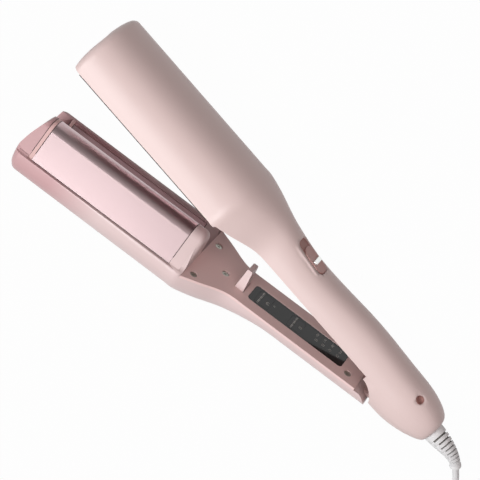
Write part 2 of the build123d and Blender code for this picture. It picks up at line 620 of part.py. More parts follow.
housing_outside, housing_inside = housing_form(HOUSING_STATIONS), housing_form(HOUSING_HOLLOW, WALL, HANDLE_HALF)

with BuildPart() as rear_cover:
    add(housing_outside)
    add(housing_inside, mode=Mode.SUBTRACT)
    top = strip(face_plane(LOWER, -FACE_UPPER), HOUSING_START - SPARE, LENGTH + SPARE)
    extrude(top, amount=HEAD_DEPTH, mode=Mode.SUBTRACT)
    with BuildSketch(Plane.XZ) as mouth:
        with Locations((MOUTH_X, MOUTH_Z)):
            Circle(MOUTH_RADIUS)
    extrude(mouth.sketch, amount=HANDLE_WIDTH, both=True, mode=Mode.SUBTRACT)
    extrude(gland_hole(), amount=3 * SPARE + LENGTH - REAR_WALL, mode=Mode.SUBTRACT)

with BuildPart() as hinge_pin:
    on_pin(-PIN_LENGTH / 2, PIN_LENGTH / 2, PIN)
    chamfer(hinge_pin.edges().filter_by(GeomType.CIRCLE), PIN / 5)

with BuildPart() as hinge_washers:
    for y in (EAR_OUTER + RUNNING, -EAR_OUTER - RUNNING - WASHER):
        on_pin(y, y + WASHER, WASHER_RADIUS)
    with BuildSketch(Plane.XZ) as bore:
        with Locations((HINGE_X, HINGE_Z)):
            Circle(PIN + 2 * RUNNING)
    extrude(bore.sketch, amount=HANDLE_WIDTH, both=True, mode=Mode.SUBTRACT)


def swung(x, z, angle=OPEN_ANGLE):
    """Where a point of the lower arm goes in the side view when the arm opens."""
    dx, dz = x - HINGE_X, z - HINGE_Z
    turn = radians(angle)
    return (HINGE_X + dx * cos(turn) - dz * sin(turn), HINGE_Z + dx * sin(turn) + dz * cos(turn))


def leaves_coil(target, turn):
    """Angle round the hinge at which a straight leg of the spring leaves for its target."""
    dx, dz = target[0] - HINGE_X, target[1] - HINGE_Z
    return atan2(dz, dx) + turn * acos(SPRING_RADIUS / hypot(dx, dz))


web_x, web_z = swung(WEB_X, WEB_Z)
low_leg = (web_x - WEB / 2, web_z + WEB + SPRING_WIRE / 2 + FIT)
high_leg = (WEB_X, upper_depth(WEB_X) - WALL - SPRING_WIRE - 2 * FIT)
high_angle, low_angle = leaves_coil(high_leg, -1), leaves_coil(low_leg, 1)
coil_turn = (high_angle - low_angle) % (2 * pi) + 2 * pi * SPRING_TURNS
coil_length = coil_turn / (2 * pi) * (SPRING_WIRE + RUNNING)

with BuildPart() as opening_spring:
    coil_start = Plane(origin=(HINGE_X, -coil_length / 2, HINGE_Z),
                       x_dir=(cos(high_angle), 0, sin(high_angle)), z_dir=(0, 1, 0))
    with BuildLine() as coil:
        Helix(pitch=SPRING_WIRE + RUNNING, height=coil_length, radius=SPRING_RADIUS)
    wound = coil_start.from_local_coords(coil.line)
    with BuildSketch(Plane(origin=wound @ 0, z_dir=wound % 0)) as wire:
        Circle(SPRING_WIRE / 2)
    sweep(wire.sketch, path=wound)
    for end, target in ((0, high_leg), (1, low_leg)):
        away = Vector(target[0], (wound @ end).Y, target[1]) - wound @ end
        with BuildSketch(Plane(origin=wound @ end, z_dir=away)) as leg:
            Circle(SPRING_WIRE / 2)
        extrude(leg.sketch, amount=away.length)

with BuildPart() as lock_slider:
    knob = strip(crest_plane(SLIDER_SUNK - 2 * RUNNING), SLIDER_START + SLIDER_TRAVEL + 2 * LOOSE,
                 SLIDER_END - LOOSE, SLIDER_WIDTH - 2 * LOOSE, corner=SLIDER_WIDTH / 4 - LOOSE)
    extrude(knob, amount=SLIDER_SUNK + SLIDER_PROUD)
    fillet(lock_slider.faces().sort_by(Axis.Z)[-1].edges(), SLIDER_PROUD - RUNNING)
    groove = strip(crest_plane(SLIDER_SUNK / 2), BAR_X - BAR / 2, BAR_X + BAR / 2)
    extrude(groove, amount=2 * SLIDER_SUNK, mode=Mode.SUBTRACT)
    stem = strip(crest_plane(SLIDER_SUNK / 2), STEM_X - STEM_LENGTH / 2, STEM_X + STEM_LENGTH / 2, STEM_WIDTH)
    extrude(stem, amount=-SLIDER_SUNK / 2 - SLIDER_FLOOR - 2 * RUNNING)

with BuildPart() as slider_bar:
    bar = strip(crest_plane(SLIDER_SUNK / 2), BAR_X - BAR / 2, BAR_X + BAR / 2, SLIDER_WIDTH - 4 * LOOSE)
    extrude(bar, amount=SLIDER_SUNK / 2 + 2 * SLIDER_PROUD)
    fillet(slider_bar.edges().filter_by(Axis.Y).group_by(Axis.Z)[-1], SLIDER_PROUD)

LATCH_TOP = SLIDER_SUNK + SLIDER_FLOOR + 2 * RUNNING

with BuildPart() as lock_latch:
    plate = strip(crest_plane(LATCH_TOP), STEM_X - STEM_LENGTH, STEM_X + STEM_LENGTH, SLIDER_WIDTH - 4 * LOOSE)
    extrude(plate, amount=-WALL)
    with BuildSketch(Plane.XZ.offset(-HOOK_Y)) as side_view:
        with BuildLine():
            web = STEM_X - STEM_LENGTH / 2
            Polyline((LATCH_START, LATCH_LOW), (web, LATCH_LOW), (web, CREST_Z - LATCH_TOP - WALL / 2),
                     (web - 2 * WALL, CREST_Z - LATCH_TOP - WALL / 2), (web - 2 * WALL, LATCH_HIGH),
                     (LATCH_START, LATCH_HIGH), close=True)
        make_face()
    extrude(side_view.sketch, amount=LATCH_WIDTH / 2, both=True)

with BuildPart() as power_board:
    board = strip(face_plane(UPPER, FACE_UPPER, BOARD_DROP), POWER_BOARD_START, POWER_BOARD_END, BOARD_WIDTH)
    extrude(board, amount=-BOARD)


# ---------------------------------------------------------------- heads
def bezel(side, depth_at):
    """Heat-proof strip that closes the head in front of the plate."""
    start = PLATE_START - BEZEL - FIT
    extrude(back_section(start, side, depth_at, RIM, WALL + FIT, 0.0 + FIT), amount=BEZEL)
    extrude(strip(face_plane(side, RIM), start, start + BEZEL), amount=SPARE, mode=Mode.SUBTRACT)
    extrude(ridge_section(start, side, SURFACE), amount=BEZEL)
    extrude(valley_section(start, side, SURFACE), amount=BEZEL, mode=Mode.SUBTRACT)


def plate(side):
    near = -RIM - TILT * (HEAD_HALF - WALL)
    extrude(wave_sheet(PLATE_START, side, SURFACE, SURFACE + PLATE, near, PLATE_TOP), amount=PLATE_END - PLATE_START)


def tray(side, depth_at):
    """Heat-proof tray under the plate, open towards it."""
    length = PLATE_END - PLATE_START
    extrude(back_section(PLATE_START, side, depth_at, RIM + 2 * FIT, WALL + FIT, FIT), amount=length)
    inside = back_section(PLATE_START, side, depth_at, RIM, WALL + FIT + TRAY, HEAD_DEPTH)
    extrude(inside, amount=length, mode=Mode.SUBTRACT)
    extrude(strip(face_plane(side, RIM + 2 * FIT), PLATE_START, PLATE_END), amount=SPARE, mode=Mode.SUBTRACT)
    under = valley_section(PLATE_START, side, SURFACE + PLATE + FIT)
    extrude(under, amount=length, mode=Mode.SUBTRACT)


def heater(side):
    """Half-round heating element in the hollow of the ridge."""
    with BuildSketch(Plane.YZ.offset(HEATER_START)) as section:
        with Locations(turned(side, *CROWN)):
            Circle(WAVE_RADIUS - SURFACE - PLATE - FIT)
        with Locations(turned(side, CROWN[0], HEATER_FLAT - WAVE_RADIUS)):
            Rectangle(2 * WAVE_RADIUS, 2 * WAVE_RADIUS, mode=Mode.SUBTRACT)
    extrude(section.sketch, amount=HEATER_END - HEATER_START)


with BuildPart() as lower_bezel:
    bezel(LOWER, lower_depth)

with BuildPart() as upper_bezel:
    bezel(UPPER, upper_depth)

with BuildPart() as lower_heating_plate:
    plate(LOWER)

with BuildPart() as upper_heating_plate:
    plate(UPPER)

with BuildPart() as lower_plate_tray:
    tray(LOWER, lower_depth)

with BuildPart() as upper_plate_tray:
    tray(UPPER, upper_depth)

with BuildPart() as lower_heater:
    heater(LOWER)

with BuildPart() as upper_heater:
    heater(UPPER)

with BuildPart() as upper_cover_screws:
    screws(UPPER, SCREWS)

with BuildPart() as strain_relief:
    start, end, away = Vector(LENGTH, 0, RELIEF_AXIS_Z), Vector(*RELIEF_END), Vector(*RELIEF_EXIT).normalized()
    with BuildLine() as axis:
        Bezier(start, start + Vector(RELIEF_BASE, 0, 0), end - away * RELIEF_BASE * 0.7, end)
    sections = []
    for i in range(7):
        at = i / 6
        with BuildSketch(Plane(origin=axis.line @ at, z_dir=axis.line % at)) as ring:
            Circle((RELIEF_BASE + (RELIEF_TIP - RELIEF_BASE) * smooth(at) ** 0.8) / 2)
        sections.append(ring.sketch)
    loft(sections)
    with BuildSketch(Plane.YZ.offset(LENGTH)) as neck:
        with Locations((0, RELIEF_AXIS_Z)):
            Circle(GLAND - FIT)
    extrude(neck.sketch, amount=REAR_WALL - LENGTH - SPARE)
    with BuildSketch(Plane.YZ.offset(REAR_WALL - FIT)) as flange:
        with Locations((0, RELIEF_AXIS_Z)):
            Circle(GLAND + SPARE)
    extrude(flange.sketch, amount=-WALL)

LOWER_ARM = {
    "lower_shell": lower_shell, "lower_inner_cover": lower_inner_cover, "lower_bezel": lower_bezel,
    "lower_heating_plate": lower_heating_plate, "lower_plate_tray": lower_plate_tray, "lower_heater": lower_heater,
    "latch_hook": latch_hook, "lower_cover_screws": lower_cover_screws, "display_window": display_window,
    "display_frame": display_frame, "control_board": control_board, "tact_switches": tact_switches,
    "indicator_lamps": indicator_lamps, "hinge_fork": hinge_fork,
    "power_key": power_key, "temperature_key": temperature_key,
}
MAIN_BODY = {
    "upper_shell": upper_shell, "upper_inner_cover": upper_inner_cover, "upper_bezel": upper_bezel,
    "upper_heating_plate": upper_heating_plate, "upper_plate_tray": upper_plate_tray, "upper_heater": upper_heater,
    "upper_cover_screws": upper_cover_screws, "rear_cover": rear_cover, "hinge_pin": hinge_pin,
    "hinge_washers": hinge_washers, "opening_spring": opening_spring, "power_board": power_board,
    "strain_relief": strain_relief, "lock_slider": lock_slider, "slider_bar": slider_bar, "lock_latch": lock_latch,
}

# ---------------------------------------------------------------- laid on the floor
UPPER_REST = (SHOULDER_START - 2, HEAD_HALF, RIM + TILT * HEAD_HALF)       # the three spots it lies on
LOWER_REST = (SHOULDER_START, HEAD_HALF, -RIM + TILT * HEAD_HALF)
REAR_REST = (HINGE_X + 5, half_width(HINGE_X + 5), FACE_UPPER)

lower_rest = swung(LOWER_REST[0], LOWER_REST[2])
roll_share = (lower_rest[0] - UPPER_REST[0]) / (UPPER_REST[2] - lower_rest[1])
pitch = asin((UPPER_REST[1] - REAR_REST[1]) / (REAR_REST[0] - UPPER_REST[0]
                                               + roll_share * (REAR_REST[2] - UPPER_REST[2])))
laid = Location((0, 0, 0), (0, degrees(pitch), 0)) * Location((0, 0, 0), (-90 - degrees(roll_share * pitch), 0, 0))
hinge = Location((HINGE_X, 0, HINGE_Z))
opened = hinge * Location((0, 0, 0), (0, -OPEN_ANGLE, 0)) * hinge.inverse()
placed = {name: made.part.moved(laid) for name, made in MAIN_BODY.items()}
placed |= {name: made.part.moved(laid * opened) for name, made in LOWER_ARM.items()}
box = Compound(list(placed.values())).bounding_box()
centre = box.center()
place = Location((-centre.X, -centre.Y, -box.min.Z)) * laid
placed = {name: solid.moved(place * laid.inverse()) for name, solid in placed.items()}

# ---------------------------------------------------------------- cord on the floor
leaves = (place * Location(RELIEF_END)).position
heading = (place * Location(Vector(*RELIEF_END) + Vector(*RELIEF_EXIT).normalized())).position - leaves
route = [leaves, leaves + heading * FIRST_RUN]
route += [Vector(leaves.X + x, leaves.Y + y, height) for x, y, height in CORD_POINTS]
runs = [after - before for before, after in zip(route, route[1:])]
radii = [0.45 * min(a.length, b.length) / tan(radians(a.get_angle(b)) / 2) for a, b in zip(runs, runs[1:])]
print("cord radii", [round(radius, 1) for radius in radii])

with BuildPart() as cord_tube:
    with BuildLine() as path:
        FilletPolyline(*route, radius=radii)
    with BuildSketch(Plane(origin=leaves, z_dir=heading)) as section:
        Circle(CORD / 2)
    sweep(section.sketch, path=path.line)

outer_turn = COIL_RADIUS + CORD * (COIL_WIDE - 1) / 2
last = runs[-1].normalized()
joins = route[-1] + last * COIL_STUB
coil_centre = Vector(joins.X + last.Y * outer_turn, joins.Y - last.X * outer_turn, 0)
leave_angle, tie_angle = radians(COIL_LEAVES), radians(TIE_AT)
plug_way = Vector(sin(leave_angle), -cos(leave_angle), 0)
plug_start = coil_centre + Vector(cos(leave_angle), sin(leave_angle), 0) * outer_turn + plug_way * COIL_STUB \
    + Vector(0, 0, PLUG_THICK / 2 + RUNNING)
tie_plane = Plane(origin=coil_centre + Vector(cos(tie_angle), sin(tie_angle), 0) * COIL_RADIUS,
                  x_dir=(cos(tie_angle), sin(tie_angle), 0), z_dir=(sin(tie_angle), -cos(tie_angle), 0))
coil_wide, coil_high = COIL_WIDE * CORD, COIL_HIGH * CORD

with BuildPart() as cord_coil:
    with BuildSketch(Plane(origin=coil_centre, x_dir=(1, 0, 0), z_dir=(0, -1, 0))) as section:
        with Locations((COIL_RADIUS, coil_high / 2)):
            RectangleRounded(coil_wide, coil_high, CORD / 2 - FIT)
    revolve(section.sketch, axis=Axis(coil_centre, (0, 0, 1)))
    for end, way in ((route[-1], last), (plug_start, -plug_way)):
        with BuildSketch(Plane(origin=end, z_dir=way)) as stub:
            Circle(CORD / 2)
        extrude(stub.sketch, amount=COIL_STUB)
    with BuildSketch(tie_plane) as notch:
        Rectangle(2 * coil_wide, 2 * (TIE + RUNNING))
    extrude(notch.sketch, amount=TIE_WIDTH / 2 + FIT, both=True, mode=Mode.SUBTRACT)

with BuildPart() as cord_tie:
    with BuildSketch(tie_plane) as band:
        with Locations((0, (coil_high + TIE + RUNNING) / 2)):
            RectangleRounded(coil_wide + 2 * (TIE + LOOSE), coil_high + TIE + RUNNING, CORD / 2)
        with Locations((0, (coil_high + TIE + RUNNING) / 2)):
            RectangleRounded(coil_wide + 2 * LOOSE, coil_high - TIE + RUNNING, 2 * FIT, mode=Mode.SUBTRACT)
    extrude(band.sketch, amount=TIE_WIDTH / 2, both=True)

with BuildPart() as plug_body:
    shapes = []
    for along, wide, thick in PLUG_SECTIONS:
        with BuildSketch(Plane(origin=plug_start + plug_way * along, x_dir=(plug_way.Y, -plug_way.X, 0),
                               z_dir=plug_way)) as section:
            RectangleRounded(wide, thick, thick / 2 - FIT)
        shapes.append(section.sketch)
    loft(shapes)

with BuildPart() as plug_pins:
    face = Plane(origin=plug_start + plug_way * PLUG_SECTIONS[-1][0], x_dir=(plug_way.Y, -plug_way.X, 0), z_dir=plug_way)
    with BuildSketch(face) as pins:
        with GridLocations(PLUG_PITCH, 0, 2, 1):
            Circle(PLUG_PIN)
    extrude(pins.sketch, amount=PLUG_PIN_LENGTH)
    fillet(plug_pins.faces().filter_by(GeomType.PLANE).group_by(SortBy.DISTANCE)[0].edges(), PLUG_PIN / 2)

for name, made in (("cord_tube", cord_tube), ("cord_coil", cord_coil), ("cord_tie", cord_tie),
                   ("plug_body", plug_body), ("plug_pins", plug_pins)):
    placed[name] = made.part

os.makedirs("parts", exist_ok=True)
for name, solid in placed.items():
    solid.label = name
    export_step(solid, f"parts/{name}.step")
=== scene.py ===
# %% [markdown]
# # Hair waver, lying open on a pale table
# This file dresses a finished CAD model of a deep-wave hair styler. The CAD solids arrive as a fixed
# frame with their joints, and stay where they are. Here they get their finishes. The lead, the printed
# marks, the slotted strain relief and some fine forms are added as pieces of their own. The scene and
# the lead are in metres; what an arm carries is drawn in that arm's own millimetres.

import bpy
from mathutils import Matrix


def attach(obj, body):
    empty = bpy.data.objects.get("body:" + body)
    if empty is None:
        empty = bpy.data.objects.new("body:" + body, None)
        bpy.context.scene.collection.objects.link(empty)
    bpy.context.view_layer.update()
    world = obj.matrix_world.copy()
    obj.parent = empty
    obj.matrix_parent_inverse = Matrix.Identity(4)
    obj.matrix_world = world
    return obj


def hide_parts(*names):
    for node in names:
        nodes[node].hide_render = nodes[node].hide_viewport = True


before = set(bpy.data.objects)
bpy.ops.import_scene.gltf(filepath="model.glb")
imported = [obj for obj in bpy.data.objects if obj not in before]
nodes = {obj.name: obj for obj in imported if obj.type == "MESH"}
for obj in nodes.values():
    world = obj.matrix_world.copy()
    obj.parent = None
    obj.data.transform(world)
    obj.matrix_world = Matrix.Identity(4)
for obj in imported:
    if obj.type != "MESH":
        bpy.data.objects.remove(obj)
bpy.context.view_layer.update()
print("pieces in the frame:", len(nodes))

# %% [markdown]
# ## Tools and colours
# bpy holds the scene, and bmesh builds a mesh point by point. The Standard view shows each colour as it
# is written; a film-like view would grey the pinks of the shells.

# %% Imports and the view of colours
from math import asin, atan, atan2, cos, pi, radians, sin, tan

import bmesh
import bpy
from mathutils import Euler, Matrix, Quaternion, Vector

scene = bpy.context.scene
scene.view_settings.view_transform = "Standard"
MM = 0.001
print("view:", scene.view_settings.view_transform)

# %% [markdown]
# ## Camera
# A product photographer stands back and uses a long lens, so that the arms keep their proportions. A
# near camera with a wide lens would swell the tips. The camera looks down on the tool from the side of
# its fixed arm, and is rolled so that the tool runs from one corner of the picture to the other.

# %% Camera
CAMERA_AT = Vector((0.01142, 0.59099, 0.98321))
CAMERA_LOOKS_AT = Vector((-0.02268, 0.02037, 0.02776))
CAMERA_ROLL = radians(-125.688)
CAMERA_LENS, SENSOR_WIDTH = 140.18, 36      # mm
FARTHEST = 10                               # metres that the camera sees

camera = bpy.data.objects.new("camera", bpy.data.cameras.new("camera"))
scene.collection.objects.link(camera)
scene.camera = camera
camera.data.lens = CAMERA_LENS
camera.data.sensor_width = SENSOR_WIDTH
camera.data.clip_end = FARTHEST
camera.location = CAMERA_AT
camera.rotation_mode = "QUATERNION"
level = (CAMERA_LOOKS_AT - CAMERA_AT).to_track_quat("-Z", "Y")
camera.rotation_quaternion = level @ Quaternion((0, 0, 1), CAMERA_ROLL)
print("camera distance:", round((CAMERA_LOOKS_AT - CAMERA_AT).length, 3), "m")

# %% [markdown]
# ## Route of the lead
# A mains lead is a fixed length of round PVC cable, 4.2 mm thick and 1.8 m long here. It leaves the
# strain relief, reaches the table within a few centimetres and bends gently, as a stiff cable does. A
# simulation could drop it there, but each small change of the tool would then lay it anew. A few
# listed places keep it where it is.

# %% Route of the lead
CORD = 4.2 * MM
ROUTE = [(0.163435, 0.027524, 0.007887), (0.168808, 0.022292, 0.005101), (0.174135, 0.015524, 0.0029),
         (0.181235, 0.004624, 0.0022), (0.187735, -0.007776, 0.00215), (0.192835, -0.019776, 0.00215)]
PLUG_START = Vector((0.168713, -0.082658, 0.0069))
print("from the relief to the table:", round((Vector(ROUTE[3]) - Vector(ROUTE[0])).length, 3), "m")

# %% [markdown]
# ## Coil of the lead
# What is left over is wound into a coil, three turns wide and four high, with a tie round it and the
# plug beside it. Closed rings, laid side by side, would look wound from afar, but a real coil is one
# line, which steps over to the next place once in each turn. So the coil is worked out as one line.

# %% Coil of the lead
COIL_CENTRE = Vector((0.173761, -0.048527, 0))
COIL_JOINS = Vector((0.200267, -0.037262, 0.00215))
COIL_RADIUS = 24.6 * MM
COIL_LEAVES = radians(-65)
POINTS_PER_TURN = 24
CELLS = [(1, 0), (0, 0), (-1, 0), (-1, 1), (0, 1), (0, 2), (-1, 2), (-1, 3), (0, 3), (1, 3), (1, 2), (1, 1)]
STEP_SHARE = 0.25           # part of each turn in which the lead steps over to the next place
LIFT = 0.51                 # height of the lowest turn's middle, in thicknesses of the lead
CUT_IN = cos(pi / POINTS_PER_TURN) ** 0.7   # the smooth line runs a little inside its points


def coil_point(angle, turns_done):
    """A point of the wound lead, by its angle round the coil and the turns wound so far."""
    at = min(int(turns_done), len(CELLS) - 1)
    after = min(at + 1, len(CELLS) - 1)
    step = max(0.0, (turns_done - at - 1 + STEP_SHARE) / STEP_SHARE)
    step = step * step * (3 - 2 * step)
    column = CELLS[at][0] + (CELLS[after][0] - CELLS[at][0]) * step
    layer = CELLS[at][1] + (CELLS[after][1] - CELLS[at][1]) * step
    radius = (COIL_RADIUS + column * CORD) / CUT_IN
    return COIL_CENTRE + Vector((radius * cos(angle), radius * sin(angle), CORD * (layer + LIFT)))


first = atan2(COIL_JOINS.y - COIL_CENTRE.y, COIL_JOINS.x - COIL_CENTRE.x)
wound = (first - COIL_LEAVES) / (2 * pi) + len(CELLS) - 1
steps = round(wound * POINTS_PER_TURN)
turns = [coil_point(first - 2 * pi * wound * i / steps, wound * i / steps) for i in range(steps + 1)]
line = [Vector(p) for p in ROUTE] + turns + [PLUG_START]
print("turns in the coil:", round(wound, 2))

# %% [markdown]
# ## Curve of the lead
# A chain of cylinders would show its joints at every bend. One NURBS curve gives a smooth line, its
# round bevel gives the thickness, and the route can still be changed point by point.

# %% Curve of the lead
curve = bpy.data.curves.new("mains_lead", "CURVE")
curve.dimensions = "3D"
spline = curve.splines.new("NURBS")
spline.points.add(len(line) - 1)
for point, place in zip(spline.points, line):
    point.co = (*place, 1)
    point.radius = CORD / 2
spline.order_u = 3
spline.use_endpoint_u = True
spline.resolution_u = 4
curve.bevel_depth = 1.0     # times the radius of the points
curve.bevel_resolution = 4
mains_lead = bpy.data.objects.new("mains_lead", curve)
scene.collection.objects.link(mains_lead)
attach(mains_lead, "main_body")
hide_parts("cord_tube", "cord_coil")
print("points of the lead:", len(line))

# %% [markdown]
# ## Colours and nodes
# Colours are written as hex codes, as on a screen. Blender computes in linear light, so one function
# turns a code into linear values. A second one adds a node with its settings and links in one line,
# and a third starts an empty material. A material set up by hand would do as well, but a written one
# can be read and changed.

# %% Helpers for colours and nodes


def linear(code):
    """sRGB hex colour as linear RGBA."""
    parts = [int(code[i:i + 2], 16) / 255 for i in (1, 3, 5)]
    return (*[c / 12.92 if c <= 0.04045 else ((c + 0.055) / 1.055) ** 2.4 for c in parts], 1)


def add_node(tree, kind, inputs=(), **settings):
    """Adds a node, sets its properties, and fills or links its inputs by name or number."""
    node = tree.nodes.new(kind)
    for name, value in settings.items():
        setattr(node, name, value)
    for name, value in dict(inputs).items():
        if isinstance(value, bpy.types.NodeSocket):
            tree.links.new(value, node.inputs[name])
        else:
            node.inputs[name].default_value = value
    return node


def new_material(name):
    """A material with no nodes yet, and its node tree."""
    material = bpy.data.materials.new(name)
    material.use_nodes = True
    material.node_tree.nodes.clear()
    print("material:", name)
    return material, material.node_tree


print("a middle grey in linear light:", round(linear("#808080")[0], 3))

# %% [markdown]
# ## Table
# The tool lies on a plain painted table. A table lit until it looks white would need so much light that
# the pale shells clip. So the paint is a mid grey that takes the soft shadow, and it glows nearly white
# only where the camera looks at it, or where it shows through a clear piece or in a gloss.

# %% Table
TABLE_COLOUR = "#8f8c8a"    # even and matt, like emulsion paint
TABLE_GLOW = 0.98           # how much of the table's look is plain white
TABLE_SIZE = 6              # metres, so that its edge stays out of sight

table_paint, tree = new_material("painted_table")
path = add_node(tree, "ShaderNodeLightPath")
seen = add_node(tree, "ShaderNodeMath", {0: path.outputs["Is Camera Ray"],
                                         1: path.outputs["Is Transmission Ray"]}, operation="MAXIMUM")
seen = add_node(tree, "ShaderNodeMath", {0: seen.outputs[0], 1: path.outputs["Is Glossy Ray"]},
                operation="MAXIMUM")
share = add_node(tree, "ShaderNodeMath", {0: seen.outputs[0], 1: TABLE_GLOW}, operation="MULTIPLY")
paint = add_node(tree, "ShaderNodeBsdfDiffuse", {"Color": linear(TABLE_COLOUR)})
glow = add_node(tree, "ShaderNodeEmission", {"Color": (1, 1, 1, 1), "Strength": 1.0})
mixed = add_node(tree, "ShaderNodeMixShader", {0: share.outputs[0], 1: paint.outputs[0],
                                               2: glow.outputs[0]})
add_node(tree, "ShaderNodeOutputMaterial", {"Surface": mixed.outputs[0]})

bpy.ops.mesh.primitive_plane_add(size=TABLE_SIZE)
table = bpy.context.object
table.name = "table"
table.data.materials.append(table_paint)
print("table:", TABLE_SIZE, "m wide")

# %% [markdown]
# ## Light
# Soft studio light: one large lamp high on one side, which draws the broad highlights on the shells,
# and a weaker, slightly warm fill on the other side. Small lamps would give hard shadows and glints.
# The world adds a little pale light from all round, and shows white where the camera looks past the
# table.

# %% Lamps and world
KEY_AT, KEY_SIZE, KEY_POWER = (-0.25, -0.25, 1.3), 0.8, 15      # metres and watts
FILL_AT, FILL_SIZE, FILL_POWER = (0.4, 1.05, 0.95), 1.0, 4
WARM = "#ffe9e5"
WORLD_STRENGTH = 0.2


def lamp(name, place, size, power, colour="#ffffff"):
    """A soft square lamp that faces the middle of the tool."""
    light = bpy.data.lights.new(name, "AREA")
    light.size = size
    light.energy = power
    light.color = linear(colour)[:3]
    made = bpy.data.objects.new(name, light)
    scene.collection.objects.link(made)
    made.location = place
    made.rotation_euler = (-Vector(place)).to_track_quat("-Z", "Y").to_euler()
    print("lamp:", name, power, "W")


lamp("key", KEY_AT, KEY_SIZE, KEY_POWER)
lamp("fill", FILL_AT, FILL_SIZE, FILL_POWER, WARM)

world = bpy.data.worlds.new("studio")
scene.world = world
world.use_nodes = True
tree = world.node_tree
tree.nodes.clear()
path = add_node(tree, "ShaderNodeLightPath")
soft = add_node(tree, "ShaderNodeBackground", {"Color": (1, 1, 1, 1), "Strength": WORLD_STRENGTH})
white = add_node(tree, "ShaderNodeBackground", {"Color": (1, 1, 1, 1), "Strength": 1.0})
mixed = add_node(tree, "ShaderNodeMixShader", {0: path.outputs["Is Camera Ray"], 1: soft.outputs[0],
                                               2: white.outputs[0]})
add_node(tree, "ShaderNodeOutputWorld", {"Surface": mixed.outputs[0]})

# %% [markdown]
# ## Moulded plastics
# The shells are moulded ABS with a fine spark-eroded texture, which scatters the light and leaves only
# a broad, soft highlight. ABS has an IOR near 1.53. The grain is about 0.1 mm on the real part and is
# drawn at 0.5 mm here, so that it shows. One even colour would look like a toy, so a slow noise of
# 40 mm changes the tone a little, as in any moulding, and the fine one changes roughness and height.
# The swinging arm's plastic is painted a shade darker than the fixed arm's, and a deeper pink at its
# tip, as painted shade.

# %% Moulded plastic
TONE_SIZE = 40                      # mm
TIP_SHADE_FULL, TIP_SHADE_NONE = -120, -85    # mm along the table, where the painted tip shade is full and where it ends
SPREAD = 0.05                       # how far the grain moves the roughness


def moulded_plastic(name, colour, roughness, grain=0.5, depth=0.02, ior=1.53, variation=0.04, tip_shade=None):
    """Moulded plastic: a grain with its depth in mm, a slow colour variation, painted shade towards the tip.
    """
    material, tree = new_material(name)
    place = add_node(tree, "ShaderNodeTexCoord")
    slow = add_node(tree, "ShaderNodeTexNoise", {"Vector": place.outputs["Object"],
                                                "Scale": 1 / (TONE_SIZE * MM)})
    tone = add_node(tree, "ShaderNodeMapRange", {"Value": slow.outputs["Fac"], "To Min": 1 - variation,
                                                "To Max": 1.0})
    base = linear(colour)
    # painted shade: a deeper pink towards the tip of the swinging arm
    if tip_shade:
        split = add_node(tree, "ShaderNodeSeparateXYZ", {0: place.outputs["Object"]})
        share = add_node(tree, "ShaderNodeMapRange", {"Value": split.outputs["X"],
                                                     "From Min": TIP_SHADE_FULL * MM, "From Max": TIP_SHADE_NONE * MM,
                                                     "To Min": 1.0, "To Max": 0.0})
        mixed = add_node(tree, "ShaderNodeMixRGB", {0: share.outputs[0], 1: base, 2: linear(tip_shade)})
        base = mixed.outputs[0]
    shade = add_node(tree, "ShaderNodeMixRGB", {0: 1.0, 1: base, 2: tone.outputs[0]}, blend_type="MULTIPLY")
    fine = add_node(tree, "ShaderNodeTexNoise", {"Vector": place.outputs["Object"],
                                                "Scale": 1 / (grain * MM), "Detail": 3.0, "Roughness": 0.6})
    rough = add_node(tree, "ShaderNodeMapRange", {"Value": fine.outputs["Fac"],
                                                 "To Min": roughness - SPREAD,
                                                 "To Max": roughness + SPREAD})
    bump = add_node(tree, "ShaderNodeBump", {"Height": fine.outputs["Fac"], "Distance": depth * MM,
                                            "Strength": 0.5})
    skin = add_node(tree, "ShaderNodeBsdfPrincipled", {"Base Color": shade.outputs[0],
                                                      "Roughness": rough.outputs[0],
                                                      "Normal": bump.outputs[0], "IOR": ior})
    add_node(tree, "ShaderNodeOutputMaterial", {"Surface": skin.outputs[0]})
    return material


blush_abs = moulded_plastic("blush_moulded_abs", "#e9d2cf", 0.42)                   # a broad, soft highlight
shaded_rose_abs = moulded_plastic("shaded_rose_moulded_abs", "#e4cdcc", 0.42, tip_shade="#d0a8aa")     # the same, painted a shade darker and rosier as shade

# %% [markdown]
# ## Other plastics
# The covers, the slider and its track are the same ABS, a little duller. The lower cover and the hinge
# fork are painted paler, as painted light where the other arm shades them. The track and the rear plug
# are painted a brown pink, as painted shade in a recess. The strips in front of the hot plates and their
# trays are glass-filled nylon, which stands the heat; the trays' dark colour also paints the shade in the
# seams and along a rim. The lead is soft PVC, with a faint, wide grain of 3 mm in place of the fine one.
# The window is polished acrylic, so nearly black that only reflections and the print show on it. Each
# could carry a picture as its texture; one function keeps them alike.

# %% Other plastics
painted_light_abs = moulded_plastic("painted_light_moulded_abs", "#f0d2cf", 0.5)                      # flat and quiet, painted paler as painted light on shaded covers
dusty_abs = moulded_plastic("dusty_moulded_abs", "#cba19c", 0.5)                    # a shade deeper
recess_shade_abs = moulded_plastic("recess_shade_brown_abs", "#a5766f", 0.5)                       # painted shade of a recess
heatproof_nylon = moulded_plastic("heatproof_nylon", "#e3bcb9", 0.5)                # slightly waxy
dark_nylon_and_shade = moulded_plastic("dark_heatproof_nylon_and_painted_shade", "#3a2a2a", 0.6)                # swallows the light; also paints the shade of seams and a rim
grey_pvc = moulded_plastic("soft_grey_pvc", "#eeeeef", 0.42, grain=3.0, depth=0.001)    # soft and smooth
print_ink = moulded_plastic("grey_print_ink", "#c4c8c4", 0.6, depth=0.002)          # flat, without gloss
black_abs = moulded_plastic("black_moulded_abs", "#141414", 0.5)                    # deep, hides seams
black_acrylic = moulded_plastic("black_acrylic", "#0b0b0c", 0.09, depth=0.0, ior=1.49,
                                variation=0.0)                                      # mirrors the studio
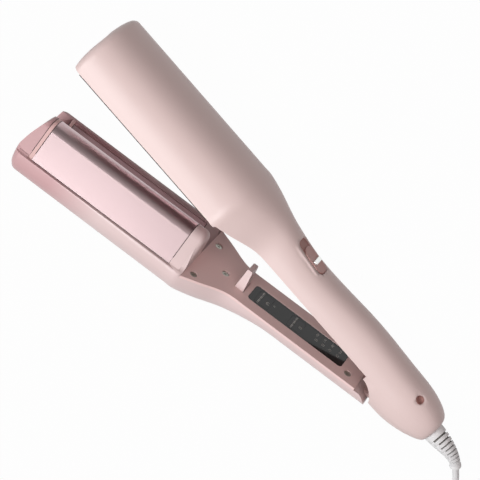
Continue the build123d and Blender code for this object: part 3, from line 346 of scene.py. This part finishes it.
board_laminate = moulded_plastic("board_laminate", "#1d5a34", 0.4)                  # green solder mask
clear_acrylic = moulded_plastic("clear_acrylic", "#e8e6df", 0.2)                    # small and glossy

# %% [markdown]
# ## Metals
# The wave plates are aluminium with a satin rose coat, ground along their length. A metal keeps the
# default IOR and takes its look from its colour, its roughness and fine lines in the direction of work.
# The real lines are too fine to show, so they are drawn 0.3 to 0.5 mm wide. An anisotropic shader would
# stretch the highlight too, but stretched noise also gives lines that can be seen.

# %% Worked metal
LINE_LENGTH = 30                    # mm
METAL_SPREAD = 0.06                 # how far the lines move the roughness


def worked_metal(name, colour, roughness, line=0.3, depth=0.004):
    """Metal with fine parallel lines of that width and depth in mm along the X axis."""
    material, tree = new_material(name)
    place = add_node(tree, "ShaderNodeTexCoord")
    fine, coarse = 1 / (line * MM), 1 / (LINE_LENGTH * MM)
    lines = add_node(tree, "ShaderNodeMapping", {"Vector": place.outputs["Object"],
                                                "Scale": (coarse, fine, fine)})
    grain = add_node(tree, "ShaderNodeTexNoise", {"Vector": lines.outputs[0], "Scale": 1.0, "Detail": 2.0})
    rough = add_node(tree, "ShaderNodeMapRange", {"Value": grain.outputs["Fac"],
                                                 "To Min": roughness - METAL_SPREAD,
                                                 "To Max": roughness + METAL_SPREAD})
    bump = add_node(tree, "ShaderNodeBump", {"Height": grain.outputs["Fac"], "Distance": depth * MM,
                                            "Strength": 0.4})
    skin = add_node(tree, "ShaderNodeBsdfPrincipled", {"Base Color": linear(colour), "Metallic": 1.0,
                                                      "Roughness": rough.outputs[0],
                                                      "Normal": bump.outputs[0]})
    add_node(tree, "ShaderNodeOutputMaterial", {"Surface": skin.outputs[0]})
    return material


rose_aluminium = worked_metal("rose_coated_aluminium", "#c8b2b4", 0.36, line=0.5,
                              depth=0.0002)                                         # a satin sweep of light
zinc_steel = worked_metal("zinc_plated_steel", "#a9a79f", 0.35)                     # dull grey
chrome_plate = worked_metal("chrome_plated_bar", "#f1f2f0", 0.3, depth=0.001)       # bright, a little soft
ceramic_and_slot_shade = moulded_plastic("ceramic_and_slot_shade", "#6d6a66", 0.7)                  # unglazed, matt; also paints the shade in the relief's slots
nickel_brass = worked_metal("nickel_plated_brass", "#cfc9bb", 0.25)                 # warm and bright

# %% [markdown]
# ## Finishes of the CAD pieces
# Each solid gets one material, as each real piece is moulded or turned from one. They could be picked
# by hand in the properties editor; a table from material to pieces is easier to check.

# %% Finishes of the CAD pieces
FINISHES = {
    blush_abs: ("upper_shell", "rear_cover", "upper_inner_cover"),
    shaded_rose_abs: ("lower_shell", "latch_hook"),
    # the paler copy is painted light on the shaded lower cover and hinge fork
    painted_light_abs: ("lower_inner_cover", "hinge_fork"),
    dusty_abs: ("lock_slider", "lock_latch"),
    heatproof_nylon: ("lower_bezel", "upper_bezel"),
    dark_nylon_and_shade: ("lower_plate_tray", "upper_plate_tray"),
    rose_aluminium: ("lower_heating_plate", "upper_heating_plate"),
    ceramic_and_slot_shade: ("lower_heater", "upper_heater"),
    black_acrylic: ("display_window", "power_key", "temperature_key"),
    black_abs: ("display_frame", "tact_switches", "hinge_washers", "cord_tie"),
    board_laminate: ("control_board", "power_board"),
    clear_acrylic: ("indicator_lamps",),
    zinc_steel: ("lower_cover_screws", "upper_cover_screws", "hinge_pin", "opening_spring"),
    chrome_plate: ("slider_bar",),
    nickel_brass: ("plug_pins",),
    grey_pvc: ("strain_relief", "plug_body", "cord_tube", "cord_coil"),
}
for material, names in FINISHES.items():
    for name in names:
        nodes[name].data.materials.clear()
        nodes[name].data.materials.append(material)
mains_lead.data.materials.append(grey_pvc)
print("pieces with a finish:", sum(len(names) for names in FINISHES.values()))

# %% [markdown]
# ## Frames of the arms
# The next pieces are drawn in millimetres in the frame of a shut tool: x runs from the tip to the rear
# end, y across the arms, and z from the mid plane to the back of the fixed arm. On the table every
# point would have to be turned three times. Two matrices do that, one for each arm.

# %% Frames of the arms
TILT = 0.16                 # slope of the parting faces across the width


def arm_frame(place, turn):
    """Matrix from an arm's millimetres to the table, from a place in mm and three turns in degrees."""
    turned = Euler([radians(angle) for angle in turn], "ZYX").to_matrix().to_4x4()
    return Matrix.Translation(Vector(place) * MM) @ turned @ Matrix.Scale(MM, 4)


FIXED_ARM = arm_frame((-163.433, 32.8831, 39.7618), (-90.9472, -0.082146, 4.95637))
SWUNG_ARM = arm_frame((-153.384, -33.6662, 39.9987), (-89.731, -13.8295, 5.10472))
FACE_TURN = Matrix.Rotation(atan(TILT), 4, "X")
print("tip of the fixed arm:", [round(c, 4) for c in FIXED_ARM.translation], "m")

# %% [markdown]
# ## Skins and pieces
# Most small parts of the tool keep a section that changes along a line: a seal, a knob, a sleeve. A skin
# over rings of points makes all of these, and it is closed. Primitive cylinders and cubes would have to
# be cut and joined. A second helper turns the mesh into an object that moves with its arm, and shades
# it smooth, apart from the edges that are sharper than a given angle.

# %% Helpers for pieces


def piece(name, mesh, base, material, body, sharp=40):
    """Makes an object of a bmesh in an arm's millimetres, and lets it ride on a body."""
    mesh.transform(base)
    bmesh.ops.recalc_face_normals(mesh, faces=mesh.faces)
    data = bpy.data.meshes.new(name)
    mesh.to_mesh(data)
    mesh.free()
    data.polygons.foreach_set("use_smooth", [True] * len(data.polygons))
    data.set_sharp_from_angle(angle=radians(sharp))
    data.materials.append(material)
    made = bpy.data.objects.new(name, data)
    scene.collection.objects.link(made)
    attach(made, body)
    print("made:", name, "with", len(data.polygons), "faces")
    return made


def skin(rings, mesh=None):
    """A closed skin over rings of points, added to a bmesh."""
    mesh = mesh or bmesh.new()
    rows = [[mesh.verts.new(point) for point in ring] for ring in rings]
    for row, after in zip(rows, rows[1:]):
        for i in range(len(row)):
            j = (i + 1) % len(row)
            mesh.faces.new((row[i], row[j], after[j], after[i]))
    mesh.faces.new(rows[0])
    mesh.faces.new(rows[-1])
    return mesh


# %% [markdown]
# ## The wave
# Both plates follow one wave: a crown and a valley of the same radius, joined by a steep wall, with
# flatter flanks outside. The upper arm has the same wave, turned half round, so the two fit together
# when the tool is shut. The wave could be a list of measured points; worked out from its two arcs, it
# always fits the plates.

# %% Shape of the wave
WAVE_RADIUS, FLANK = 8.7, radians(65.5)
RIM = 0.88                  # how far each rim lies from the mid plane, in mm
CROWN = Vector((-10.7, 9.8))
STEEP = atan2(CROWN.y, CROWN.x) - asin(WAVE_RADIUS / CROWN.length)
WALL_START, FLANK_START = STEEP - pi / 2, FLANK + pi / 2


def crown(inset, count=14):
    """Points of the crown's arc from the outer flank to the steep wall, with one inset for each."""
    insets = inset if isinstance(inset, list) else [inset] * (count + 1)
    angles = [FLANK_START + (WALL_START - FLANK_START) * i / count for i in range(count + 1)]
    return [CROWN + (WAVE_RADIUS - d) * Vector((cos(a), sin(a))) for a, d in zip(angles, insets)]


def to_rim(point, direction):
    """Where a line through a point of the section meets the plane of the rims."""
    reach = (TILT * point.x - RIM - point.y) / (sin(direction) - TILT * cos(direction))
    return point + reach * Vector((cos(direction), sin(direction)))


def wave_line(inset, low, high):
    """The wave from height low on the outer flank to height high on the other."""
    top = crown(inset)
    valley = [-CROWN - (WAVE_RADIUS + inset) * (p - CROWN).normalized() for p in reversed(top)]
    first = top[0] + Vector((1 / tan(FLANK), 1)) * (low - top[0].y)
    last = valley[-1] + Vector((1 / tan(FLANK), 1)) * (high - valley[-1].y)
    return [first, *top, *valley, last]


print("top of the crown:", round(CROWN.y + WAVE_RADIUS, 1), "mm above the mid plane")

# %% [markdown]
# ## Painted shade in the seams
# A hot plate grows in length, so narrow seams part it from the pieces in front of it and behind it.
# Thin dark bands paint the shade in these seams, and show as thin lines across the wave. A line painted
# in a material would have to be placed again whenever the plate changes; a thin band is worked out from
# the same wave, and stands a hair proud.

# %% Painted shade lines across the plates
PLATE_START, PLATE_END, BLOCK_FRONT = 12.8, 115.5, 10.1     # along x, in mm
SEAMS = ((BLOCK_FRONT - 0.2, 0.4), (PLATE_START - 0.3, 0.45), (PLATE_END - 0.1, 0.45))   # start and width
SURFACE = 0.4                       # how far the plate's face lies inside the wave's own line
SHADE_LINE_PROUD, SHADE_LINE_DEEP = 0.04, 0.3
SHADE_LINE_LOW, SHADE_LINE_HIGH = -1.5, 1.2     # heights at which a shade line ends on the two flanks
ARMS = {"lower": (1, SWUNG_ARM, "lower_arm", shaded_rose_abs), "upper": (-1, FIXED_ARM, "main_body", blush_abs)}


def plate_seals(arm, side, base, body):
    """Thin dark bands of painted shade across the wave of one arm, a little proud of its plate."""
    mesh = bmesh.new()
    outer = wave_line(SURFACE - SHADE_LINE_PROUD, SHADE_LINE_LOW, SHADE_LINE_HIGH)
    inner = wave_line(SURFACE + SHADE_LINE_DEEP, SHADE_LINE_LOW, SHADE_LINE_HIGH)
    section = [*outer, *reversed(inner)]
    for x, width in SEAMS:
        skin([[(x + d, side * p.x, side * p.y) for p in section] for d in (0, width)], mesh)
    # dark bands that paint the shade in the seams round each plate
    piece(f"{arm}_plate_seals", mesh, base, dark_nylon_and_shade, body)


print("seams on each arm:", len(SEAMS))

# %% [markdown]
# ## Rear ends of the waves
# Behind the plate, the crown of the wave ends in a rounded block of the arm's own plastic. A bevel
# would round all edges of such a block alike, but here the rounding is full on the crown and fades
# towards the rim. So each point of the crown has its own radius, and the rings follow a quarter turn.

# %% Rear ends of the waves
BLOCK_END, CAP_START, CAP_GAP, CAP_PROUD = 125.5, 0.4, 0.1, 0.06
LEAST_ROUND, MOST_ROUND = 0.3, 4.2
ROUND_SLOPE, ROUND_FROM = 0.2126, -2.2      # the radius grows with the height above this level
QUARTER = [radians(10 * i) for i in range(10)]


def wave_end(arm, side, base, body, plastic):
    """The rounded rear end of one arm's wave."""
    rings, proud, back = [], SURFACE - CAP_PROUD, BLOCK_END - CAP_GAP
    rounding = [max(LEAST_ROUND, min(MOST_ROUND, ROUND_SLOPE * (p.y - ROUND_FROM))) for p in crown(0)]
    for turn in [None, *QUARTER]:
        insets = [proud + (0 if turn is None else r * (1 - cos(turn))) for r in rounding]
        xs = [PLATE_END + CAP_START if turn is None else back - r + r * sin(turn) for r in rounding]
        arc = crown(insets)
        section = [to_rim(arc[0], FLANK), *arc, to_rim(arc[-1], STEEP)]
        rings.append([(x, side * p.x, side * p.y) for x, p in zip([xs[0], *xs, xs[-1]], section)])
    piece(f"{arm}_wave_end", skin(rings), base, plastic, body, 30)


for arm, (side, base, body, plastic) in ARMS.items():
    plate_seals(arm, side, base, body)
    wave_end(arm, side, base, body, plastic)

# %% [markdown]
# ## Rounded tips
# The solid shells end in a square edge. A real moulding rounds it, for the hand and for the mould. A
# bevel modifier wants clean faces, and the mesh of a CAD solid is made of many thin triangles. So each
# shell is drawn again from a copy of its solid, and the edge of the tip is planed off in small steps,
# all the way round its back.

# %% Rounded tips
TIP_ROUND, TIP_START = 5.5, 0.6             # radius of the edge, and where the shell's front lies
TIP_REACH = 20.0                            # the plane works on this much of the shell
FAN = [radians(-90 + 15 * i) for i in range(13)]        # directions round the back
BITES = [radians(15 + 12 * i) for i in range(6)]        # from the side of the tip to its front
MERGE = 0.003                               # points nearer than this become one


def planed(name, side, base, body, plastic):
    """A copy of a shell with the edge of its tip rounded all the way round its back."""
    mesh = bmesh.new()
    mesh.from_mesh(nodes[name].data)
    mesh.transform(base.inverted() @ nodes[name].matrix_world)
    bmesh.ops.remove_doubles(mesh, verts=mesh.verts, dist=MERGE)
    head = [v.co.copy() for v in mesh.verts if v.co.x < TIP_REACH]
    for across in FAN:
        outward = Vector((0, sin(across), -side * cos(across)))
        reach = max(point.dot(outward) for point in head)
        for angle in BITES:
            way = outward * cos(angle) - Vector((sin(angle), 0, 0))
            middle = outward * (reach - TIP_ROUND) + Vector((TIP_START + TIP_ROUND, 0, 0))
            near = [v for v in mesh.verts if v.co.x < TIP_REACH]
            faces = {face for v in near for face in v.link_faces}
            edges = {edge for face in faces for edge in face.edges}
            cut = bmesh.ops.bisect_plane(mesh, geom=[*{v for f in faces for v in f.verts}, *edges, *faces],
                                         plane_co=middle + TIP_ROUND * way, plane_no=way, clear_outer=True)
            rim = [e for e in cut["geom_cut"] if isinstance(e, bmesh.types.BMEdge) and e.is_boundary]
            bmesh.ops.holes_fill(mesh, edges=rim, sides=0)
    made = piece(name.replace("shell", "moulding"), mesh, base, plastic, body, 30)
    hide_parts(name)


for arm, (side, base, body, plastic) in ARMS.items():
    planed(f"{arm}_shell", side, base, body, plastic)

# %% [markdown]
# ## Rim and seam
# A thin dark strip runs along the rim of the fixed arm's jaw and paints the line of shade at its edge.
# On the swinging arm, a small bead covers the seam where the rounded tip meets the rim. Both could be cut
# into the shells, but they keep one section along their length, so a skin over three rings is enough.

# %% Rim shade line and tip bead
RIM_SHADE_OUTER, RIM_SHADE_INNER = -28.7, -27.6         # across the arm
RIM_SHADE_TOP, RIM_SHADE_FOOT = 0.1, -0.7               # above and below the rim
RIM_SHADE_ALONG, BEAD_ALONG = (7.0, 60.0, 118.0), (3.2, 6.0, 9.85)
BEAD = ((0.55, 1.2), (0.0, 0.45), (-0.6, 0.1), (-1.4, -0.14), (-1.2, -1.0), (0.5, -1.0))

corners = ((RIM_SHADE_OUTER, RIM_SHADE_TOP), (RIM_SHADE_OUTER, RIM_SHADE_FOOT), (RIM_SHADE_INNER, RIM_SHADE_FOOT), (RIM_SHADE_INNER, RIM_SHADE_TOP))
rim = [(y, RIM + TILT * y + d) for y, d in corners]
# painted shade: a dark strip along the rim of the fixed arm
rim_shade = skin([[(x, y, z) for y, z in rim] for x in RIM_SHADE_ALONG])
piece("upper_rim_shade_line", rim_shade, FIXED_ARM, dark_nylon_and_shade, "main_body")

foot = to_rim(crown(0)[0], FLANK)
bead = [foot + Vector(step) for step in BEAD]
bead = skin([[(x, p.x, p.y) for p in bead] for x in BEAD_ALONG])
piece("lower_tip_bead", bead, SWUNG_ARM, shaded_rose_abs, "lower_arm", 60)

# %% [markdown]
# ## Shoulders
# Where the rim of the jaw steps over to the rim of the handle, the solids keep a small notch, which a
# real moulding fills with a web. The points lie on the side of the shell round that notch. Their convex
# hull, with the same points moved inwards, is a thin plate that ends just below the surface, and it
# saves joining points by hand.

# %% Shoulder webs
WEB = ((123.48, -29.02, -2.3), (124.23, -28.81, -1.41), (124.14, -28.89, -3.04), (124.32, -28.67, 0.18),
       (125.08, -28.37, 1.01), (125.17, -28.16, 2.55), (125.93, -27.75, 3.32), (126.51, -27.8, 1.02),
       (127.18, -27.56, 0.23), (126.33, -28.07, -2.16), (125.66, -28.33, -1.35), (127.86, -27.33, -0.57))
WEB_FACES = (0.02, 0.6)     # how far inside the surface the plate's two faces lie

for arm, (side, base, body, plastic) in ARMS.items():
    web = bmesh.new()
    corners = [web.verts.new((x, -side * (y + deep), -side * z)) for x, y, z in WEB for deep in WEB_FACES]
    bmesh.ops.convex_hull(web, input=corners)
    bmesh.ops.delete(web, geom=[v for v in web.verts if not v.link_faces], context="VERTS")
    piece(f"{arm}_shoulder_web", web, base, plastic, body)

# %% [markdown]
# ## Slider
# A thumb pushes this slider to lock the arms shut. Its knob lies below the surface of the handle in a
# track painted darker as the shade of a recess, so that only its bright bar stands out. A cube with a
# bevel would give the outline; rings of a rounded rectangle, one above the other, also give the knob its
# dished top.

# %% Slider
CREST = Matrix.Translation((1.1876, 0, 39.2468)) @ Matrix.Rotation(atan2(0.115907, 0.99326), 4, "Y")
KNOB, TRACK, BAR = (169.6, 188.1, 11.4, 5.0), (164.1, 188.3, 11.8, 2.9), (178.7, 181.3, 9.0, 0.5)
KNOB_RINGS = ((-1.9, 0), (-1.35, 0), (-1.08, 0.12), (-0.95, 0.45), (-1.0, 1.2), (-1.25, 2.6), (-1.35, 4.4))
TRACK_RINGS = ((-2.0, 0), (-1.95, 0.02), (-1.93, 0.1))
BAR_RINGS = ((-1.3, 0), (0.0, 0), (0.3, 0.3))


def stadium(start, end, width, radius, height, inset, count=8):
    """A ring of points round a rounded rectangle."""
    points = []
    for cx, cy, first in ((end - radius, 1, 0), (start + radius, 1, 90), (start + radius, -1, 180),
                          (end - radius, -1, 270)):
        for i in range(count + 1):
            a = radians(first + 90 * i / count)
            r = radius - inset
            points.append((cx + r * cos(a), cy * (width / 2 - radius) + r * sin(a), height))
    return points


def built_up(outline, levels):
    """A skin over rings of one outline (start, end, width, radius), by their heights and insets."""
    return skin([stadium(*outline, height, inset) for height, inset in levels])


knob = built_up(KNOB, KNOB_RINGS)
knob = piece("slider_knob", knob, FIXED_ARM @ CREST, dusty_abs, "lock")
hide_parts("lock_slider")
bright = built_up(BAR, BAR_RINGS)
bright = piece("slider_bright_bar", bright, FIXED_ARM @ CREST, chrome_plate, "lock")
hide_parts("slider_bar")
track = built_up(TRACK, TRACK_RINGS)
# a thin sheet on the floor of the recess, painted brown pink as its shade
piece("slider_track_shade", track, FIXED_ARM @ CREST, recess_shade_abs, "main_body")

# %% [markdown]
# ## Rear plug
# A dished plug closes the round hole at the rear end; its brown pink is painted shade in the hole. A flat
# disc would catch no shade. The plug is a turned form, so its profile, as pairs of a radius and a height,
# goes once round.

# %% Rear plug
HOLE_AT, HOLE_FACES = (281, -10, 14.1), Vector((0.1, -0.62, 0.78)).normalized()
PLUG = ((2.4, -3.4), (2.46, -0.6), (2.35, -0.5), (2.2, -0.6), (2.05, -1.3), (1.6, -1.8), (0.6, -2.0))
ROUND = [pi * i / 16 for i in range(32)]

hole = Matrix.Translation(HOLE_AT) @ HOLE_FACES.to_track_quat("Z", "Y").to_matrix().to_4x4()
plug = skin([[(r * cos(a), r * sin(a), z) for a in ROUND] for r, z in PLUG])
# brown pink: painted shade in the rear hole
piece("rear_hole_shade_plug", plug, FIXED_ARM @ hole, recess_shade_abs, "main_body")

# %% [markdown]
# ## Strain relief
# The relief is soft PVC, moulded round the lead. It tapers and droops, and its middle line is a Bezier
# curve of four handles. The same line could be drawn in the curve editor; as a function, it gives the
# place of each ring.

# %% Course of the relief
RELIEF_START, RELIEF_END = Vector((302, 0, 0.9)), Vector((328.4, 3.6, -5.3))
RELIEF_BASE, RELIEF_TIP = 13.5, 6.6     # outer sizes
AWAY = Vector((0.70, 0.30, -0.65)).normalized()
handles = [RELIEF_START, RELIEF_START + Vector((RELIEF_BASE, 0, 0)), RELIEF_END - AWAY * RELIEF_BASE * 0.7,
           RELIEF_END]


def bezier(t):
    """A point of the relief's middle line, at a share of its course."""
    a, b, c, d = handles
    return a * (1 - t) ** 3 + b * 3 * t * (1 - t) ** 2 + c * 3 * t * t * (1 - t) + d * t ** 3


print("relief:", round((RELIEF_END - RELIEF_START).length, 1), "mm from end to end")

# %% [markdown]
# ## Slots
# Short slots, more than half way round, let the relief bend. Booleans would leave ragged edges on a
# bent cone. Here each slot has four rings: two on the sleeve and, a hair further in, two that are
# smaller on the side that is cut.

# %% Slots of the relief
SLOTS, SLOT_DEPTH, SLOT_WIDTH = 8, 1.4, 0.36    # the width is a share of the pitch
FIRST_SLOT, PITCH, WALL = 0.14, 0.095, 0.001    # shares of the course
SLOTS_FACE = (1.3, 1.6)                         # directions of the slots in turn, in radians
PLAIN_BEFORE, PLAIN_AFTER = (0.0, 0.04, 0.08), (0.93, 0.945, 0.955, 1.0)


def slot_depth(index, angle):
    """Depth of a slot at an angle round the axis."""
    side = cos(angle - SLOTS_FACE[index % 2])
    return SLOT_DEPTH * min(1.0, max(0.0, 3 * side + 1))


stations = [(station, None) for station in PLAIN_BEFORE]
for index in range(SLOTS):
    start = FIRST_SLOT + PITCH * index
    end = start + PITCH * SLOT_WIDTH
    stations += [(start, None), (start + WALL, index), (end - WALL, index), (end, None)]
stations += [(station, None) for station in PLAIN_AFTER]
print("rings of the relief:", len(stations))

# %% [markdown]
# ## Sleeve and painted slot shade
# The rings lean a little, and the lean fades at both ends. The sleeve ends in a small collar. Soft light
# fills the slots, so on their own they would look as pale as the sleeve. A dark inner skin, a little less
# deep than the slots, paints the shade at their bottom. It takes the matt grey that is mixed for the
# heaters.

# %% Sleeve and painted slot shade of the relief
COUNT = 64                              # points of a ring
LEAN, LEAN_FACES, LEAN_FADES = 0.035, 0.5, 0.1
AHEAD = 0.01                            # looks so far ahead and back for the direction
TAPER = 0.8                             # below 1, the relief narrows sooner
CLEARANCE = 0.02                        # mm that the sleeve is thinner all round
COLLAR, COLLAR_FROM = 0.35, 0.95
# the dark inner skin that paints the shade in the slots: its depth, and where it starts and ends
SLOT_SHADE_DEPTH, SLOT_SHADE_FROM, SLOT_SHADE_TO = 1.1, 0.1, 0.93

rings, shade_rings = [], []
for station, index in stations:
    ring, inner = [], []
    for angle in [2 * pi * j / COUNT for j in range(COUNT)]:
        fade = min(1.0, station / FIRST_SLOT, (1 - station) / LEAN_FADES)
        t = station - LEAN * cos(angle - LEAN_FACES) * fade
        at, ahead = bezier(t), (bezier(min(t + AHEAD, 1)) - bezier(max(t - AHEAD, 0))).normalized()
        right = ahead.cross(Vector((0, 0, 1))).normalized()
        up = right.cross(ahead)
        share = (t * t * (3 - 2 * t)) ** TAPER
        radius = (RELIEF_BASE + (RELIEF_TIP - RELIEF_BASE) * share) / 2 - CLEARANCE
        radius += COLLAR if station > COLLAR_FROM else 0.0
        radius -= 0.0 if index is None else slot_depth(index, angle)
        ring.append(at + radius * (right * cos(angle) + up * sin(angle)))
        inner.append(at + (radius - SLOT_SHADE_DEPTH) * (right * cos(angle) + up * sin(angle)))
    rings.append(ring)
    if index is None and SLOT_SHADE_FROM < station < SLOT_SHADE_TO:
        shade_rings.append(inner)
# painted shade: a dark skin inside the sleeve, seen at the bottom of the slots
piece("relief_slot_shade", skin(shade_rings), FIXED_ARM, ceramic_and_slot_shade, "main_body", 50)
relief = piece("slotted_relief", skin(rings), FIXED_ARM, grey_pvc, "main_body", 50)
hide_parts("strain_relief")

# %% [markdown]
# ## Print on the window
# Thin grey ink on the acrylic: a power mark, a ring beside each temperature, and rows of dashes that
# part the fields. Ink in a material would need a picture or many nodes. Flat strips, 0.03 mm thick,
# stay sharp at any distance and are kept in an export.

# %% Bars and rings of ink
WINDOW = SWUNG_ARM @ Matrix.Translation((0, 0, -1.8)) @ FACE_TURN @ Matrix.Translation((0, 0, -0.4))
INK = 0.03


def bar(mesh, x, y, length, width):
    """A thin rectangle of ink with its middle at x, y."""
    corners = [(x + i * length / 2, y + j * width / 2) for i, j in ((-1, -1), (1, -1), (1, 1), (-1, 1))]
    skin([[(u, v, h) for u, v in corners] for h in (0, INK)], mesh)


def loop(mesh, x, y, radius, line, start=0.0, end=2 * pi, count=24):
    """An arc of ink, made of short bars that meet."""
    for i in range(count):
        a, b = (start + (end - start) * k / count for k in (i, i + 1))
        corners = [(x + r * cos(t), y + r * sin(t)) for r, t in
                   ((radius, a), (radius + line, a), (radius + line, b), (radius, b))]
        skin([[(u, v, h) for u, v in corners] for h in (0, INK)], mesh)


print("ink:", INK, "mm thick")

# %% Marks on the window
MIDLINE = -0.5                              # middle of the window, across the arm
DASH_ROWS, DASHES = (170.4, 195.2), 9
DASH_START, DASH_PITCH, DASH_LENGTH, WIDE, NARROW = -5.2, 1.3, 1.1, 0.75, 0.35
POWER_MARK, POWER_DOT, TEMPERATURE_MARK = 176.0, (180.0, 1.0), 200.2
TEMPERATURE_RINGS = (212.1, 217.2, 222.3, 228.0)
THICK_LINE, LINE, THIN_LINE = 0.28, 0.25, 0.22

marks = bmesh.new()
for x in DASH_ROWS:
    for i in range(DASHES):
        bar(marks, x, DASH_START + DASH_PITCH * i, DASH_LENGTH, WIDE if i % 3 else NARROW)
loop(marks, POWER_MARK, MIDLINE, 0.95, THICK_LINE, radians(40), radians(320))
bar(marks, POWER_MARK - 0.5, MIDLINE, 1.3, THICK_LINE)
loop(marks, *POWER_DOT, 0.3, LINE)
loop(marks, TEMPERATURE_MARK, MIDLINE, 0.75, LINE)
for x in TEMPERATURE_RINGS:
    loop(marks, x, MIDLINE, 0.75, THIN_LINE)
piece("window_marks", marks, WINDOW, print_ink, "lower_arm")

# %% [markdown]
# ## Numbers on the window
# The temperatures are printed too. Numbers drawn from bars would look like a pocket calculator's, so
# Blender's own type is set, given the thickness of the ink and turned into a mesh, which needs no font
# later on.

# %% Numbers on the window
NUMBERS = ((211.2, 150), (216.7, 170), (222.3, 190), (228.2, 210))      # place along the arm, and degrees
NUMBER_SIZE, NUMBER_ACROSS = 2.1, 3.9

for x, number in NUMBERS:
    words = bpy.data.curves.new(f"number_{number}", "FONT")
    words.body = str(number)
    words.size = NUMBER_SIZE
    words.extrude = INK / 2
    words.align_x = words.align_y = "CENTER"
    text = bpy.data.objects.new(f"number_{number}", words)
    mesh = bmesh.new()
    flat = bpy.data.meshes.new_from_object(text)
    mesh.from_mesh(flat)
    bpy.data.meshes.remove(flat)
    bpy.data.objects.remove(text)
    upright = Matrix.Translation((x, NUMBER_ACROSS, INK / 2)) @ Matrix.Rotation(pi / 2, 4, "Z")
    piece(f"number_{number}", mesh, WINDOW @ upright, print_ink, "lower_arm")

# %% [markdown]
# ## Update at the end
# The view layer is brought up to date once more.

# %% Update at the end
bpy.context.view_layer.update()
